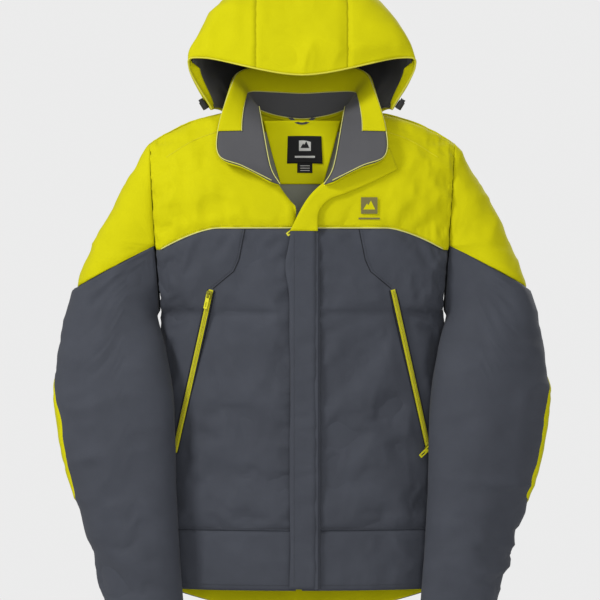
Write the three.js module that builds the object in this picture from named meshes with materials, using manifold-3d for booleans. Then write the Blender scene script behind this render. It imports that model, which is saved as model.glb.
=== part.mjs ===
// Hooded ski jacket, hung by its hanger loop. Millimetres: +X to the wearer's left, -Y to the front, +Z up.
// The origin is the middle of the hanger loop. "left" and "right" are the wearer's.
import * as THREE from "three";
import { mergeVertices } from "three/addons/utils/BufferGeometryUtils.js";
import Module from "manifold-3d";

const wasm = await Module();
wasm.setup();

// ---- driving dimensions ----
const HEM_Z = -785; // front hem
const TAIL_DROP = 50; // how much lower the middle of the back hem hangs
const YOKE_Z = -186; // straight part of the seam between yoke and body
const YOKE_DROP = 36; // how far that seam falls towards the armhole
const YOKE_STRAIGHT_X = 140; // where the seam starts to fall
const BODY_HALF_W = 236; // half width of the body at the side seams
const FRONT_D = 88; // depth of the front from the side seams
const BACK_D = 80; // depth of the back from the side seams
const SHOULDER_X = BODY_HALF_W + 20;
const SHOULDER_Z = -42;
const SHOULDER_FALL = 2.2; // 1 is a straight shoulder line, more is a rounder one
const ARMPIT_Z = -325;
const ARMHOLE_HALF_D = 48; // half the armhole's depth, front to back
const NECK_X = 78; // where the shoulder line meets the neck seam
const NECK_Z = 14;
const NECK_BACK_Z = 0; // middle of the back neck seam
const NECK_FRONT_Z = -158; // bottom of the open neck
const ROUND_H = 150; // height over which the chest rounds to the shoulder line
const SHELL_T = 6; // insulated shell wall
const LINING_T = 2; // lining wall
const SEAM_GAP = 0.35; // half the gap left between neighbouring panels
const LAYER_GAP = 0.5; // gap between layers that lie on each other
const SLEEVE_T = 5; // sleeve wall
const SLEEVE_SPLIT = 0.3; // share of the sleeve above its swing, under the armpit
const CUFF_SPLIT = 0.945; // share of the sleeve above the cuff
const HOOD_T = 4;
const HOOD_SEAM_X = 77; // half width of the hood's middle panel
const COLLAR_T = 2.5; // each of the collar's two walls
const FACING_T = 2;
const ZIP_X = -6; // centre line of the main zip
const ZIP_W = 7; // width of the closed coil
const FLAP_LEFT_X = -20; // free edge of the storm flap
const FLAP_HINGE_X = 26; // sewn edge of the storm flap
const FLAP_T = 4;
const FLAP_GAP = 9.5; // room for the zip slider between front and flap
const SLIDER_W = 11;
const SLIDER_H = 14;
const POCKET_TOP = new THREE.Vector2(BODY_HALF_W - 86, -288); // x and z of the pocket zip's upper end
const POCKET_BOTTOM = new THREE.Vector2(BODY_HALF_W - 25, -558);
const POCKET_ZIP_W = 12;
const LABEL_W = 62;
const LABEL_H = 48;
const EMBLEM_SIZE = 27;
const LINING_REACH = 0.86; // share of the front's round that the front lining covers
const LINING_DEPTH = 15; // how far the front lining lies under the shell's outer face
const BACK_LINING_DEPTH = SHELL_T + 0.7;

const YELLOW = new THREE.MeshStandardMaterial({ color: 0xdcd800, roughness: 0.7, metalness: 0 });
const GREY = new THREE.MeshStandardMaterial({ color: 0x4c4f57, roughness: 0.75, metalness: 0 });
const LINING = new THREE.MeshStandardMaterial({ color: 0x5d5f58, roughness: 0.85, metalness: 0 });
const BLACK = new THREE.MeshStandardMaterial({ color: 0x17181a, roughness: 0.5, metalness: 0 });
const METAL = new THREE.MeshStandardMaterial({ color: 0x8b8a3a, roughness: 0.4, metalness: 0.8 });

const jacket = new THREE.Group();
const HANDS = [["right", -1], ["left", 1]];

function add(name, geometry, material, parent = jacket) {
  const mesh = new THREE.Mesh(geometry, material);
  mesh.name = name;
  parent.add(mesh);
  return mesh;
}

const clamp = (v, lo, hi) => Math.min(hi, Math.max(lo, v));
const lerp = (a, b, t) => a + (b - a) * t;

// A smooth line through control points, t from 0 to 1.
function spline(points) {
  const curve = new THREE.CatmullRomCurve3(
    points.map((p) => new THREE.Vector3(...p)),
    false,
    "centripetal",
  );
  return (t) => curve.getPoint(clamp(t, 0, 1));
}

// ---- closed solids from grids ----
function facesOut(positions, index) {
  let volume = 0;
  const at = (i) => new THREE.Vector3(positions[3 * i], positions[3 * i + 1], positions[3 * i + 2]);
  for (let i = 0; i < index.length; i += 3)
    volume += at(index[i]).dot(at(index[i + 1]).cross(at(index[i + 2])));
  if (volume < 0)
    for (let i = 0; i < index.length; i += 3)
      [index[i + 1], index[i + 2]] = [index[i + 2], index[i + 1]];
  const geometry = new THREE.BufferGeometry();
  geometry.setAttribute("position", new THREE.Float32BufferAttribute(positions, 3));
  geometry.setIndex(index);
  geometry.computeVertexNormals();
  return geometry;
}

// A sheet with a thickness: outer and inner are functions of (i, j) on a grid of nu by nv cells.
function sheetSolid(outer, inner, nu, nv) {
  const positions = [];
  const index = [];
  const cols = nv + 1;
  const half = (nu + 1) * cols;
  for (const side of [outer, inner])
    for (let i = 0; i <= nu; i++)
      for (let j = 0; j <= nv; j++) positions.push(...side(i, j).toArray());
  const quad = (a, b, c, d) => index.push(a, b, c, a, c, d);
  for (let i = 0; i < nu; i++)
    for (let j = 0; j < nv; j++) {
      const a = i * cols + j;
      quad(a, a + cols, a + cols + 1, a + 1);
      quad(half + a, half + a + 1, half + a + cols + 1, half + a + cols);
    }
  for (let i = 0; i < nu; i++)
    for (const j of [0, nv]) {
      const a = i * cols + j;
      if (j === 0) quad(a, half + a, half + a + cols, a + cols);
      else quad(a, a + cols, half + a + cols, half + a);
    }
  for (let j = 0; j < nv; j++)
    for (const i of [0, nu]) {
      const a = i * cols + j;
      if (i === 0) quad(a, a + 1, half + a + 1, half + a);
      else quad(a, half + a, half + a + 1, a + 1);
    }
  return facesOut(positions, index);
}

// A tube wall: outer and inner are functions of (ring, k) with count points round each ring.
function tubeSolid(outer, inner, rings, count) {
  const positions = [];
  const index = [];
  const half = (rings + 1) * count;
  for (const side of [outer, inner])
    for (let i = 0; i <= rings; i++)
      for (let k = 0; k < count; k++) positions.push(...side(i, k).toArray());
  const quad = (a, b, c, d) => index.push(a, b, c, a, c, d);
  for (let k = 0; k < count; k++) {
    const next = (k + 1) % count;
    for (let i = 0; i < rings; i++) {
      const a = i * count + k;
      const b = i * count + next;
      quad(a, a + count, b + count, b);
      quad(half + a, half + b, half + b + count, half + a + count);
    }
    quad(k, next, half + next, half + k);
    const last = rings * count;
    quad(last + k, half + last + k, half + last + next, last + next);
  }
  return facesOut(positions, index);
}

// The unit normal of a surface function at (u, v), turned towards where toward(point) points.
function normalAt(surface, u, v, toward) {
  const step = 1e-3;
  const du = surface(Math.min(u + step, 1), v).sub(surface(Math.max(u - step, 0), v));
  const dv = surface(u, Math.min(v + step, 1)).sub(surface(u, Math.max(v - step, 0)));
  const normal = du.cross(dv).normalize();
  return normal.dot(toward(surface(u, v))) < 0 ? normal.negate() : normal;
}

// A layer of a surface: it starts depth under the surface and is thickness thick.
// keep(point) may hold the sunk points back from a neighbouring panel.
function layer(surface, nu, nv, { thickness, depth = 0, toward, keep = (point) => point }) {
  const face = (below) => (i, j) => {
    const [u, v] = [i / nu, j / nv];
    return keep(surface(u, v).addScaledVector(normalAt(surface, u, v, toward), -below));
  };
  return sheetSolid(face(depth), face(depth + thickness), nu, nv);
}

// Surfaces set side by side along v (or u), with the cells of each and one bridging cell between two.
function joined(parts, along = "v") {
  const cells = parts.reduce((sum, part) => sum + part[1], parts.length - 1);
  const surface = (u, v) => {
    let t = (along === "v" ? v : u) * cells;
    const at = (part, share) => (along === "v" ? part[0](u, share) : part[0](share, v));
    for (let i = 0; i < parts.length; i++) {
      if (t <= parts[i][1] || i === parts.length - 1) return at(parts[i], clamp(t / parts[i][1], 0, 1));
      t -= parts[i][1];
      if (t < 1) return at(parts[i], 1).lerp(at(parts[i + 1], 0), t);
      t -= 1;
    }
  };
  return { surface, cells };
}

const solidOf = (geometry) => {
  const bare = geometry.clone();
  bare.deleteAttribute("normal");
  bare.deleteAttribute("uv");
  const merged = mergeVertices(bare, 1e-3);
  const corners = new Uint32Array(merged.index.array);
  const mesh = { numProp: 3, vertProperties: merged.attributes.position.array, triVerts: corners };
  return new wasm.Manifold(new wasm.Mesh(mesh));
};
const geometryOf = (solid) => {
  const mesh = solid.getMesh();
  const geometry = new THREE.BufferGeometry();
  geometry.setAttribute("position", new THREE.Float32BufferAttribute(mesh.vertProperties, 3));
  geometry.setIndex(Array.from(mesh.triVerts));
  geometry.computeVertexNormals();
  return geometry;
};

// ---- body surface ----
// Height of the shoulder line at x; between the neck points it is the line that the neck seam cuts off.
function ridgeZ(x) {
  const ax = Math.abs(x);
  if (ax < NECK_X) return NECK_Z + 50 * (1 - (ax / NECK_X) ** 2);
  return NECK_Z + (SHOULDER_Z - NECK_Z) * ((ax - NECK_X) / (SHOULDER_X - NECK_X)) ** SHOULDER_FALL;
}
// Half width of the body at height z, out to the side seam or the armhole seam.
function edgeX(z) {
  if (z < ARMPIT_Z) return BODY_HALF_W;
  return lerp(BODY_HALF_W, SHOULDER_X, (Math.min(z, SHOULDER_Z) - ARMPIT_Z) / (SHOULDER_Z - ARMPIT_Z));
}
// Half depth of the armhole at height z.
function edgeD(z) {
  const middle = (ARMPIT_Z + SHOULDER_Z) / 2;
  const q = (z - middle) / (SHOULDER_Z - middle);
  return Math.abs(q) < 1 ? ARMHOLE_HALF_D * Math.sqrt(1 - q * q) : 0;
}
// Depth of the front (side -1) or back (side 1) at (x, z), as a y coordinate.
function bodyY(x, z, side) {
  const q = clamp(Math.abs(x) / (edgeX(z) - SEAM_GAP), 0, 1);
  const up = clamp((z - (ridgeZ(x) - ROUND_H)) / ROUND_H, 0, 1);
  const full = (side < 0 ? FRONT_D : BACK_D) * Math.sqrt(1 - up * up);
  const edge = edgeD(z);
  return side * (edge + (full - edge) * Math.sqrt(1 - q * q));
}
function yokeSeamZ(x) {
  const t = clamp((Math.abs(x) - YOKE_STRAIGHT_X) / (BODY_HALF_W - YOKE_STRAIGHT_X), 0, 1);
  return YOKE_Z - YOKE_DROP * t ** 1.5;
}
const hemZ = (x, side) => HEM_Z - (side > 0 ? TAIL_DROP * (1 - (x / BODY_HALF_W) ** 2) : 0);
const neckBackZ = (x) => NECK_BACK_Z + (NECK_Z - NECK_BACK_Z) * (x / NECK_X) ** 2;
function neckFrontX(z) {
  const q = clamp((NECK_Z - z) / (NECK_Z - NECK_FRONT_Z), 0, 1);
  return NECK_X * (1 - q ** 1.8) ** 0.8;
}
const SETTLE_PASSES = 4; // x and z of a sloping seam depend on each other
const outwardBody = (p) => new THREE.Vector3(p.x * 0.2, p.y, p.z > -60 ? 60 : 0);

// A strip of body from xIn to the edge on one side; low(x) and high(x) bound its height.
// The round lies in u: x = xIn + (edge - xIn) sin(u pi / 2).
function bodySurface(hand, side, xIn, low, high) {
  return (u, v) => {
    const share = Math.sin((u * Math.PI) / 2);
    let [x, z] = [share * BODY_HALF_W, 0];
    for (let pass = 0; pass < SETTLE_PASSES; pass++) {
      z = lerp(low(x), high(x), v);
      x = lerp(xIn(z), edgeX(z) - SEAM_GAP, share);
    }
    const y = bodyY(x, z, side) + (u === 1 || z >= ridgeZ(x) - 1 ? side * SEAM_GAP : 0);
    return new THREE.Vector3(hand * x, y, z);
  };
}
// A strip right across the back.
function backSurface(low, high) {
  return (u, v) => {
    const share = Math.sin(((2 * u - 1) * Math.PI) / 2);
    let [x, z] = [share * BODY_HALF_W, 0];
    for (let pass = 0; pass < SETTLE_PASSES; pass++) {
      z = lerp(low(x), high(x), v);
      x = share * (edgeX(z) - SEAM_GAP);
    }
    const atEdge = u === 0 || u === 1 || z >= ridgeZ(x) - 1;
    return new THREE.Vector3(x, bodyY(x, z, 1) + (atEdge ? SEAM_GAP : 0), z);
  };
}

// ---- fronts, yokes and back ----
const yokeTop = (x) => ridgeZ(Math.max(x, NECK_X)) - SEAM_GAP;
const frontIn = (hand) => hand * ZIP_X + ZIP_W / 2 + SEAM_GAP;
const wall = { thickness: SHELL_T, toward: outwardBody };
// Holds a body panel's points on its own side of the side seams and clear of the sleeves.
const within = (side) => (p) => {
  const most = edgeX(p.z) - SEAM_GAP;
  return p.set(clamp(p.x, -most, most), side * Math.max(side * p.y, SEAM_GAP), p.z);
};
const frontWall = { ...wall, keep: within(-1) };
const backWall = { ...wall, keep: within(1) };
for (const [name, hand] of HANDS) {
  const inner = () => frontIn(hand);
  const front = bodySurface(hand, -1, inner, () => HEM_Z, (x) => yokeSeamZ(x) - SEAM_GAP);
  const shell = solidOf(layer(front, 8, 12, frontWall)).subtract(solidOf(pocketSlot(hand)));
  add(`${name}_front_panel`, geometryOf(shell), GREY);
  const yokeIn = (z) => Math.max(neckFrontX(z), frontIn(hand));
  const yoke = bodySurface(hand, -1, yokeIn, (x) => yokeSeamZ(x) + SEAM_GAP, yokeTop);
  add(`${name}_front_yoke`, layer(yoke, 8, 8, frontWall), YELLOW);
}
const BACK_COLUMNS = 16;
const backLow = backSurface((x) => hemZ(x, 1), (x) => yokeSeamZ(x) - SEAM_GAP);
const BACK_ROWS = 10;
const BACK_YOKE_ROWS = 7;
add("back_panel", layer(backLow, BACK_COLUMNS, BACK_ROWS, backWall), GREY);
const backTop = (x) => (Math.abs(x) < NECK_X ? neckBackZ(x) : yokeTop(Math.abs(x)));
const backYoke = backSurface((x) => yokeSeamZ(x) + SEAM_GAP, backTop);
add("back_yoke", layer(backYoke, BACK_COLUMNS, BACK_YOKE_ROWS, backWall), YELLOW);

// ---- pocket zips ----
// The frame of a pocket zip: its middle, its direction up along the zip and its outward normal.
function pocketFrame(hand) {
  const end = (p) => new THREE.Vector3(hand * p.x, bodyY(p.x, p.y, -1), p.y);
  const [top, bottom] = [end(POCKET_TOP), end(POCKET_BOTTOM)];
  const along = top.clone().sub(bottom).normalize();
  const middle = top.clone().add(bottom).multiplyScalar(0.5);
  const slope = new THREE.Vector3(middle.x / BODY_HALF_W ** 2, middle.y / FRONT_D ** 2, 0);
  const out = slope.addScaledVector(along, -slope.dot(along)).normalize();
  const across = along.clone().cross(out);
  return { middle, length: top.distanceTo(bottom), matrix: new THREE.Matrix4().makeBasis(across, along, out) };
}
// A box in the pocket zip's own axes: x across, y along, z out.
function pocketBox(hand, width, height, depth, x, y, z) {
  const frame = pocketFrame(hand);
  return new THREE.BoxGeometry(width, height, depth)
    .translate(x, y, z)
    .applyMatrix4(frame.matrix)
    .translate(frame.middle.x, frame.middle.y, frame.middle.z);
}
function pocketSlot(hand) {
  return pocketBox(hand, POCKET_ZIP_W + 1, pocketFrame(hand).length + 8, 60, 0, 0, 0);
}
const POCKET_TAPE_T = 2;
const POCKET_LIFT = 1.5; // foot of the coil above the straight line between the zip's ends
const COIL_W = 5;
const COIL_T = 1.6;
const POCKET_BAG_W = 95;
const POUCH_GAP = 3.5; // room for the round of the panel in front of the flat pouch
for (const [name, hand] of HANDS) {
  const { length } = pocketFrame(hand);
  const tapeZ = POCKET_LIFT - POCKET_TAPE_T / 2 - LAYER_GAP / 2;
  const tape = pocketBox(hand, POCKET_ZIP_W, length + 6, POCKET_TAPE_T, 0, 0, tapeZ);
  add(`${name}_pocket_tape`, tape, GREY);
  const coilZ = POCKET_LIFT + COIL_T / 2 + LAYER_GAP / 2;
  add(`${name}_pocket_coil`, pocketBox(hand, COIL_W, length, COIL_T, 0, 0, coilZ), YELLOW);
  // The bag hangs behind the panel, towards the middle, and reaches the tape through the panel's slot.
  const slant = (POCKET_TOP.x - POCKET_BOTTOM.x) / (POCKET_TOP.y - POCKET_BOTTOM.y);
  const bag = (u, v) => {
    const z = lerp(POCKET_BOTTOM.y + 6, POCKET_TOP.y - 12, v);
    const x = POCKET_TOP.x + (z - POCKET_TOP.y) * slant + POCKET_ZIP_W / 3 - POCKET_BAG_W * (1 - u);
    return new THREE.Vector3(hand * x, bodyY(x, z, -1), z);
  };
  const pouch = solidOf(layer(bag, 5, 4, { ...wall, thickness: LINING_T, depth: SHELL_T + POUCH_GAP }));
  const neckTop = tapeZ - POCKET_TAPE_T / 2 - LAYER_GAP;
  const neckDepth = SHELL_T + POUCH_GAP + LINING_T;
  const neck = solidOf(pocketBox(hand, POCKET_ZIP_W / 2, length - 24, neckDepth, 0, 0, neckTop - neckDepth / 2));
  add(`${name}_pocket_bag`, geometryOf(pouch.add(neck)), LINING);
}

// ---- zip sliders and pullers, in their own axes: x across, y along, z out ----
function roundedSlab(width, height, thickness, radius) {
  const shape = new THREE.Shape();
  const [w, h] = [width / 2, height / 2];
  shape.moveTo(-w + radius, -h);
  shape.lineTo(w - radius, -h);
  shape.absarc(w - radius, -h + radius, radius, -Math.PI / 2, 0);
  shape.absarc(w - radius, h - radius, radius, 0, Math.PI / 2);
  shape.absarc(-w + radius, h - radius, radius, Math.PI / 2, Math.PI);
  shape.absarc(-w + radius, -h + radius, radius, Math.PI, 1.5 * Math.PI);
  return new THREE.ExtrudeGeometry(shape, { depth: thickness, bevelEnabled: false, curveSegments: 4 });
}
// The slider's top plate with the bail that its puller hangs on.
const SLIDER_PLATE_T = 1.8;
const BAIL_W = 3;
const BAIL_L = 8;
const EYE_L = 4.4;
const EYE_H = 2.6;
const EYE_Z = SLIDER_PLATE_T + 0.2 + EYE_H / 2; // middle of the bail's eye
function sliderGeometry(width, height) {
  const plate = solidOf(roundedSlab(width, height, SLIDER_PLATE_T, 2.5));
  const bailH = EYE_H + 1.6;
  const bailZ = SLIDER_PLATE_T + bailH / 2 - 0.2;
  const bail = solidOf(new THREE.BoxGeometry(BAIL_W, BAIL_L, bailH).translate(0, 0, bailZ));
  const eye = solidOf(new THREE.BoxGeometry(BAIL_W + 1, EYE_L, EYE_H).translate(0, 0, EYE_Z));
  return geometryOf(plate.add(bail).subtract(eye));
}
// The puller: its end bar lies in the bail's eye, and its tab hangs down from it.
const PULLER_L = 24;
const PULLER_W = 6.4;
const PULLER_T = 1.6;
const PULLER_BAR = 1.8;
function pullerGeometry() {
  const tab = roundedSlab(PULLER_W, PULLER_L, PULLER_T, 0.8);
  tab.translate(0, (PULLER_BAR - PULLER_L) / 2, EYE_Z - PULLER_T / 2);
  const windowL = BAIL_L / 2 + 1 - PULLER_BAR / 2;
  const window = new THREE.BoxGeometry(BAIL_W + 1, windowL, 3 * PULLER_T);
  window.translate(0, -(PULLER_BAR + windowL) / 2, EYE_Z);
  const slot = roundedSlab(2.4, 9, 3 * PULLER_T, 1.1).translate(0, -PULLER_L + 8, EYE_Z - 1.5 * PULLER_T);
  return geometryOf(solidOf(tab).subtract(solidOf(window)).subtract(solidOf(slot)));
}
// Pocket sliders: the right one is closed at the top, the left one is open at the bottom.
const PARK = 9; // from the end of the zip to the middle of the slider
// The left puller is turned to the middle, clear of the sleeve.
const POCKET_TURN = { right: 0, left: -1.1 };
for (const [name, hand] of HANDS) {
  const { length, matrix, middle } = pocketFrame(hand);
  const along = -hand * (length / 2 - PARK);
  const lift = POCKET_LIFT + COIL_T + 2 * LAYER_GAP;
  const place = (geometry) =>
    geometry
      .rotateZ(POCKET_TURN[name])
      .translate(0, along, lift)
      .applyMatrix4(matrix)
      .translate(middle.x, middle.y, middle.z);
  add(`${name}_pocket_slider`, place(sliderGeometry(SLIDER_W - 1, SLIDER_H)), METAL);
  add(`${name}_pocket_puller`, place(pullerGeometry()), YELLOW);
}

// ---- sleeves ----
// Outer and inner edge of the sleeve seen from the front, from the armhole to the cuff, and its half depth.
// The x of each point is counted from the side seam.
const fromSide = (points) => spline(points.map(([x, y, z]) => [BODY_HALF_W + x, y, z]));
const SLEEVE_OUTER = fromSide([
  [SHOULDER_X - BODY_HALF_W + SEAM_GAP, 0, SHOULDER_Z], [85, -4, -157], [139, -12, -276], [165, -22, -388],
  [169, -34, -470], [149, -46, -586], [119, -56, -690], [91, -66, -800], [80, -70, -866],
]);
const SLEEVE_INNER = fromSide([
  [SEAM_GAP, 0, ARMPIT_Z], [5, -7, ARMPIT_Z - 5], [4, -18, ARMPIT_Z - 13], [-9, -50, -385], [-23, -70, -470],
  [-27, -76, -590], [-32, -78, -700], [-40, -80, -800], [-45, -82, -866],
]);
const SLEEVE_DEPTH = spline([ARMHOLE_HALF_D, 52, 58, 62, 60, 56, 50, 46, 44].map((depth) => [depth, 0, 0]));
const SLEEVE_SIDES = 16;
// A point of the sleeve's surface at share s of its length and angle, sunk below by depth.
// The angle is 90 degrees at the outer edge, 0 at the back and 180 at the front.
function sleevePoint(hand, s, angle, depth) {
  const [outer, inner] = [SLEEVE_OUTER(s), SLEEVE_INNER(s)];
  const across = outer.clone().sub(inner).normalize();
  outer.addScaledVector(across, -depth);
  inner.addScaledVector(across, depth);
  const point = inner.lerp(outer, (1 + Math.sin(angle)) / 2);
  point.y += (SLEEVE_DEPTH(s).x - depth) * Math.cos(angle);
  point.x *= hand;
  return point;
}
function sleeveTube(hand, from, to, rings, thickness, depth = 0) {
  const face = (sink) => (i, k) =>
    sleevePoint(hand, lerp(from, to, i / rings), (2 * Math.PI * k) / SLEEVE_SIDES, sink);
  return tubeSolid(face(depth), face(depth + thickness), rings, SLEEVE_SIDES);
}
// A patch that lies on the sleeve, between two shares of its length and two sides of its section.
function sleevePatch(hand, [s0, s1], [side0, side1], rings, thickness) {
  const sides = side1 - side0;
  const angle = (j) => (2 * Math.PI * (side0 + j)) / SLEEVE_SIDES;
  const face = (sink) => (i, j) => sleevePoint(hand, lerp(s0, s1, i / rings), angle(j), sink);
  return sheetSolid(face(-LAYER_GAP - thickness), face(-LAYER_GAP), rings, sides);
}
// The half space above the seam between the yellow cap and the grey sleeve, as a thick wedge.
const CAP_SEAM = [[-86, YOKE_Z + 18], [8, -214], [133, -277], [214, -325]].map(([x, z]) => [BODY_HALF_W + x, z]);
function capKnife(hand, lift) {
  const shape = new THREE.Shape();
  shape.moveTo(hand * CAP_SEAM[0][0], 60);
  for (const [x, z] of CAP_SEAM) shape.lineTo(hand * x, z + lift);
  shape.lineTo(hand * CAP_SEAM[3][0], 60);
  const knife = new THREE.ExtrudeGeometry(shape, { depth: 260, bevelEnabled: false });
  return knife.rotateX(Math.PI / 2).translate(0, 130, 0);
}
const LOWER_RINGS = 12;
// The elbow panel in rings of the lower sleeve and sides of its section, the cuff's tab in shares of the sleeve.
const ELBOW = { rings: [2, 7], sides: [1, 5], thickness: 1.6 };
const CUFF_TAB = { span: [0.955, 0.99], sides: [6, 10], thickness: 2.2 };
const lowerShare = (ring) => lerp(SLEEVE_SPLIT, CUFF_SPLIT, ring / LOWER_RINGS);
const sleeveGap = 0.0006; // share of the sleeve's length that parts one piece from the next
for (const [name, hand] of HANDS) {
  const root = solidOf(sleeveTube(hand, 0, SLEEVE_SPLIT - sleeveGap, 7, SLEEVE_T));
  add(`${name}_sleeve_cap`, geometryOf(root.intersect(solidOf(capKnife(hand, SEAM_GAP)))), YELLOW);
  add(`${name}_sleeve_upper`, geometryOf(root.subtract(solidOf(capKnife(hand, -SEAM_GAP)))), GREY);
  const lower = sleeveTube(hand, SLEEVE_SPLIT + sleeveGap, CUFF_SPLIT - sleeveGap, LOWER_RINGS, SLEEVE_T);
  add(`${name}_sleeve_lower`, lower, GREY);
  add(`${name}_cuff`, sleeveTube(hand, CUFF_SPLIT, 1, 2, SLEEVE_T), GREY);
  const elbowSpan = ELBOW.rings.map(lowerShare);
  const elbowRings = ELBOW.rings[1] - ELBOW.rings[0];
  add(`${name}_elbow_panel`, sleevePatch(hand, elbowSpan, ELBOW.sides, elbowRings, ELBOW.thickness), YELLOW);
  add(`${name}_cuff_tab`, sleevePatch(hand, CUFF_TAB.span, CUFF_TAB.sides, 1, CUFF_TAB.thickness), GREY);
}

// ---- main zip, its facings and the storm flap ----
// A box between two corners.
function block(low, high) {
  const size = high.map((value, i) => value - low[i]);
  return new THREE.BoxGeometry(...size).translate(...low.map((value, i) => value + size[i] / 2));
}
// A block given by its x and z range and by its depth behind the front's middle line, from near to far.
const frontBlock = ([x0, x1], [near, far], [z0, z1]) => block([x0, -FRONT_D + near, z0], [x1, -FRONT_D + far, z1]);
const ZIP_TOP_Z = NECK_FRONT_Z - 6;
const ZIP_BOTTOM_Z = HEM_Z + 10;
const TAPE_W = 16;
const TAPE_NEAR = SHELL_T + 1.2;
const TAPE_FAR = TAPE_NEAR + 1;
const zipZ = [ZIP_BOTTOM_Z, ZIP_TOP_Z];
add("main_zip_coil", frontBlock([ZIP_X - ZIP_W / 2, ZIP_X + ZIP_W / 2], [0.2, TAPE_NEAR - 0.4], zipZ), BLACK);
for (const [name, hand] of HANDS) {
  const spanX = (near, far) => [ZIP_X + hand * near, ZIP_X + hand * far].sort((p, q) => p - q);
  add(`${name}_zip_tape`, frontBlock(spanX(SEAM_GAP, TAPE_W), [TAPE_NEAR, TAPE_FAR], zipZ), GREY);
  const facingZ = [HEM_Z + 4, ZIP_TOP_Z];
  add(`${name}_front_facing`, frontBlock(spanX(2, TAPE_W + 12), [TAPE_FAR + 0.4, LINING_DEPTH - 0.4], facingZ), YELLOW);
  const whole = bodySurface(hand, -1, () => frontIn(hand) + 4, () => HEM_Z + 8, () => NECK_FRONT_Z - 8);
  const inside = (u, v) => whole(u * LINING_REACH, v);
  const lining = layer(inside, 8, 8, { ...wall, thickness: LINING_T, depth: LINING_DEPTH });
  add(`${name}_front_lining`, lining, LINING);
}
const sliderNear = -0.4; // the slider's plate rides just in front of the panels
const SLIDER_Z = YOKE_Z + 2;
const PULLER_TILT = -0.95; // the fold of the flap turns the main puller to the side
const ontoZip = (geometry) =>
  geometry.rotateZ(PULLER_TILT).rotateX(Math.PI / 2).translate(ZIP_X, -FRONT_D + sliderNear, SLIDER_Z);
add("main_slider", ontoZip(sliderGeometry(SLIDER_W, SLIDER_W)), METAL);
add("main_puller", ontoZip(pullerGeometry()), YELLOW);

const FLAP_Z = [HEM_Z + 3, YOKE_Z - 6];
const flapFar = -FLAP_GAP;
const flapNear = flapFar - FLAP_T;
add("storm_flap", frontBlock([FLAP_LEFT_X, FLAP_HINGE_X], [flapNear, flapFar], FLAP_Z), GREY);
add("flap_root", frontBlock([FLAP_HINGE_X - 10, FLAP_HINGE_X], [flapFar + 0.35, -0.6], FLAP_Z), GREY);
const hookX = [FLAP_LEFT_X + 0.5, ZIP_X - SLIDER_W / 2 - 2];
const HOOK_T = 1.3;
add("flap_hook_strip", frontBlock(hookX, [flapFar + 0.35, flapFar + 0.35 + HOOK_T], [-700, -240]), BLACK);
add("flap_loop_strip", frontBlock(hookX, [-0.6 - HOOK_T, -0.6], [-700, -240]), BLACK);

// ---- inside of the back ----
const backLayer = (surface, columns, rows, depth, thickness) =>
  layer(surface, columns, rows, { ...backWall, depth, thickness });
const FACING_ROWS = 2; // rows of the back panel that the hem facing covers
const liningLow = (u, v) => backLow(u, lerp(FACING_ROWS / BACK_ROWS + 0.002, 1, v));
const liningHigh = (u, v) => backYoke(u, (v * (BACK_YOKE_ROWS - 1)) / BACK_YOKE_ROWS);
const back = joined([[liningLow, BACK_ROWS - FACING_ROWS], [liningHigh, BACK_YOKE_ROWS - 1]]);
add("back_lining", backLayer(back.surface, BACK_COLUMNS, back.cells, BACK_LINING_DEPTH, LINING_T), LINING);
const hemFacing = (u, v) => backLow(u, lerp(0.01, FACING_ROWS / BACK_ROWS - 0.002, v));
add("back_hem_facing", backLayer(hemFacing, BACK_COLUMNS, FACING_ROWS, BACK_LINING_DEPTH, FACING_T), YELLOW);
// A patch of the back's inside between z0 and z1, whose half width goes from w0 to w1.
const backPatch = (x0, [z0, z1], [w0, w1]) => (u, v) => {
  const z = lerp(z0, z1, v);
  const x = x0 + (2 * u - 1) * lerp(w0, w1, v);
  return new THREE.Vector3(x, bodyY(x, z, 1), z);
};
// How far the back's flat facets lie under its round.
const FACET_SAG = 0.0033 * ((2 * BODY_HALF_W) / BACK_COLUMNS) ** 2;
const FACING_DEPTH = BACK_LINING_DEPTH + LINING_T + FACET_SAG;
const neckFacing = backPatch(0, [-112, NECK_BACK_Z - 9], [34, NECK_X - 12]);
add("neck_facing", backLayer(neckFacing, 6, 5, FACING_DEPTH, FACING_T), YELLOW);
const LABEL_DEPTH = FACING_DEPTH + FACING_T + 0.6;
const labelX = 5;
const LABEL_TOP_Z = NECK_BACK_Z - 27;
const label = backPatch(labelX, [LABEL_TOP_Z - LABEL_H, LABEL_TOP_Z], [LABEL_W / 2, LABEL_W / 2]);
const labelTab = backPatch(labelX, [LABEL_TOP_Z - LABEL_H - 17, LABEL_TOP_Z - LABEL_H + 1], [13, 13]);
const labelParts = [label, labelTab].map((patch) => solidOf(backLayer(patch, 4, 3, LABEL_DEPTH, 1)));
add("neck_label", geometryOf(labelParts[0].add(labelParts[1])), BLACK);

// ---- collar ----
// Foot and top edge of the collar, from the middle of the back to the tip of the lapel, on the +X side.
// Behind, the foot stands above the neck seam: share of the neck's half width, y, height above the seam.
const onNeck = (share, y, above) => [share * NECK_X, y, neckBackZ(share * NECK_X) + above];
const COLLAR_FOOT = [
  onNeck(0, 58, 1.4), onNeck(0.513, 52, 2.46), onNeck(0.897, 24, 2.9), [NECK_X - 7, -14, NECK_Z + 3],
  [65, -65, -17], [55, -91, -72], [48, -97, -95], [36, -100, -114],
];
const COLLAR_TOP = [
  [0, 54, 91], [62, 44, 90], [104, 8, 78], [119, -34, 48],
  [138, -70, -18], [137, -94, -66], [98, -105, -84], [50, -106, -108],
];
const mirrored = (points) => {
  const far = points.slice(1).map(([x, y, z]) => [-x, y, z]);
  return spline([...far.reverse(), ...points]);
};
const collarFoot = mirrored(COLLAR_FOOT);
const collarTop = mirrored(COLLAR_TOP);
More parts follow.
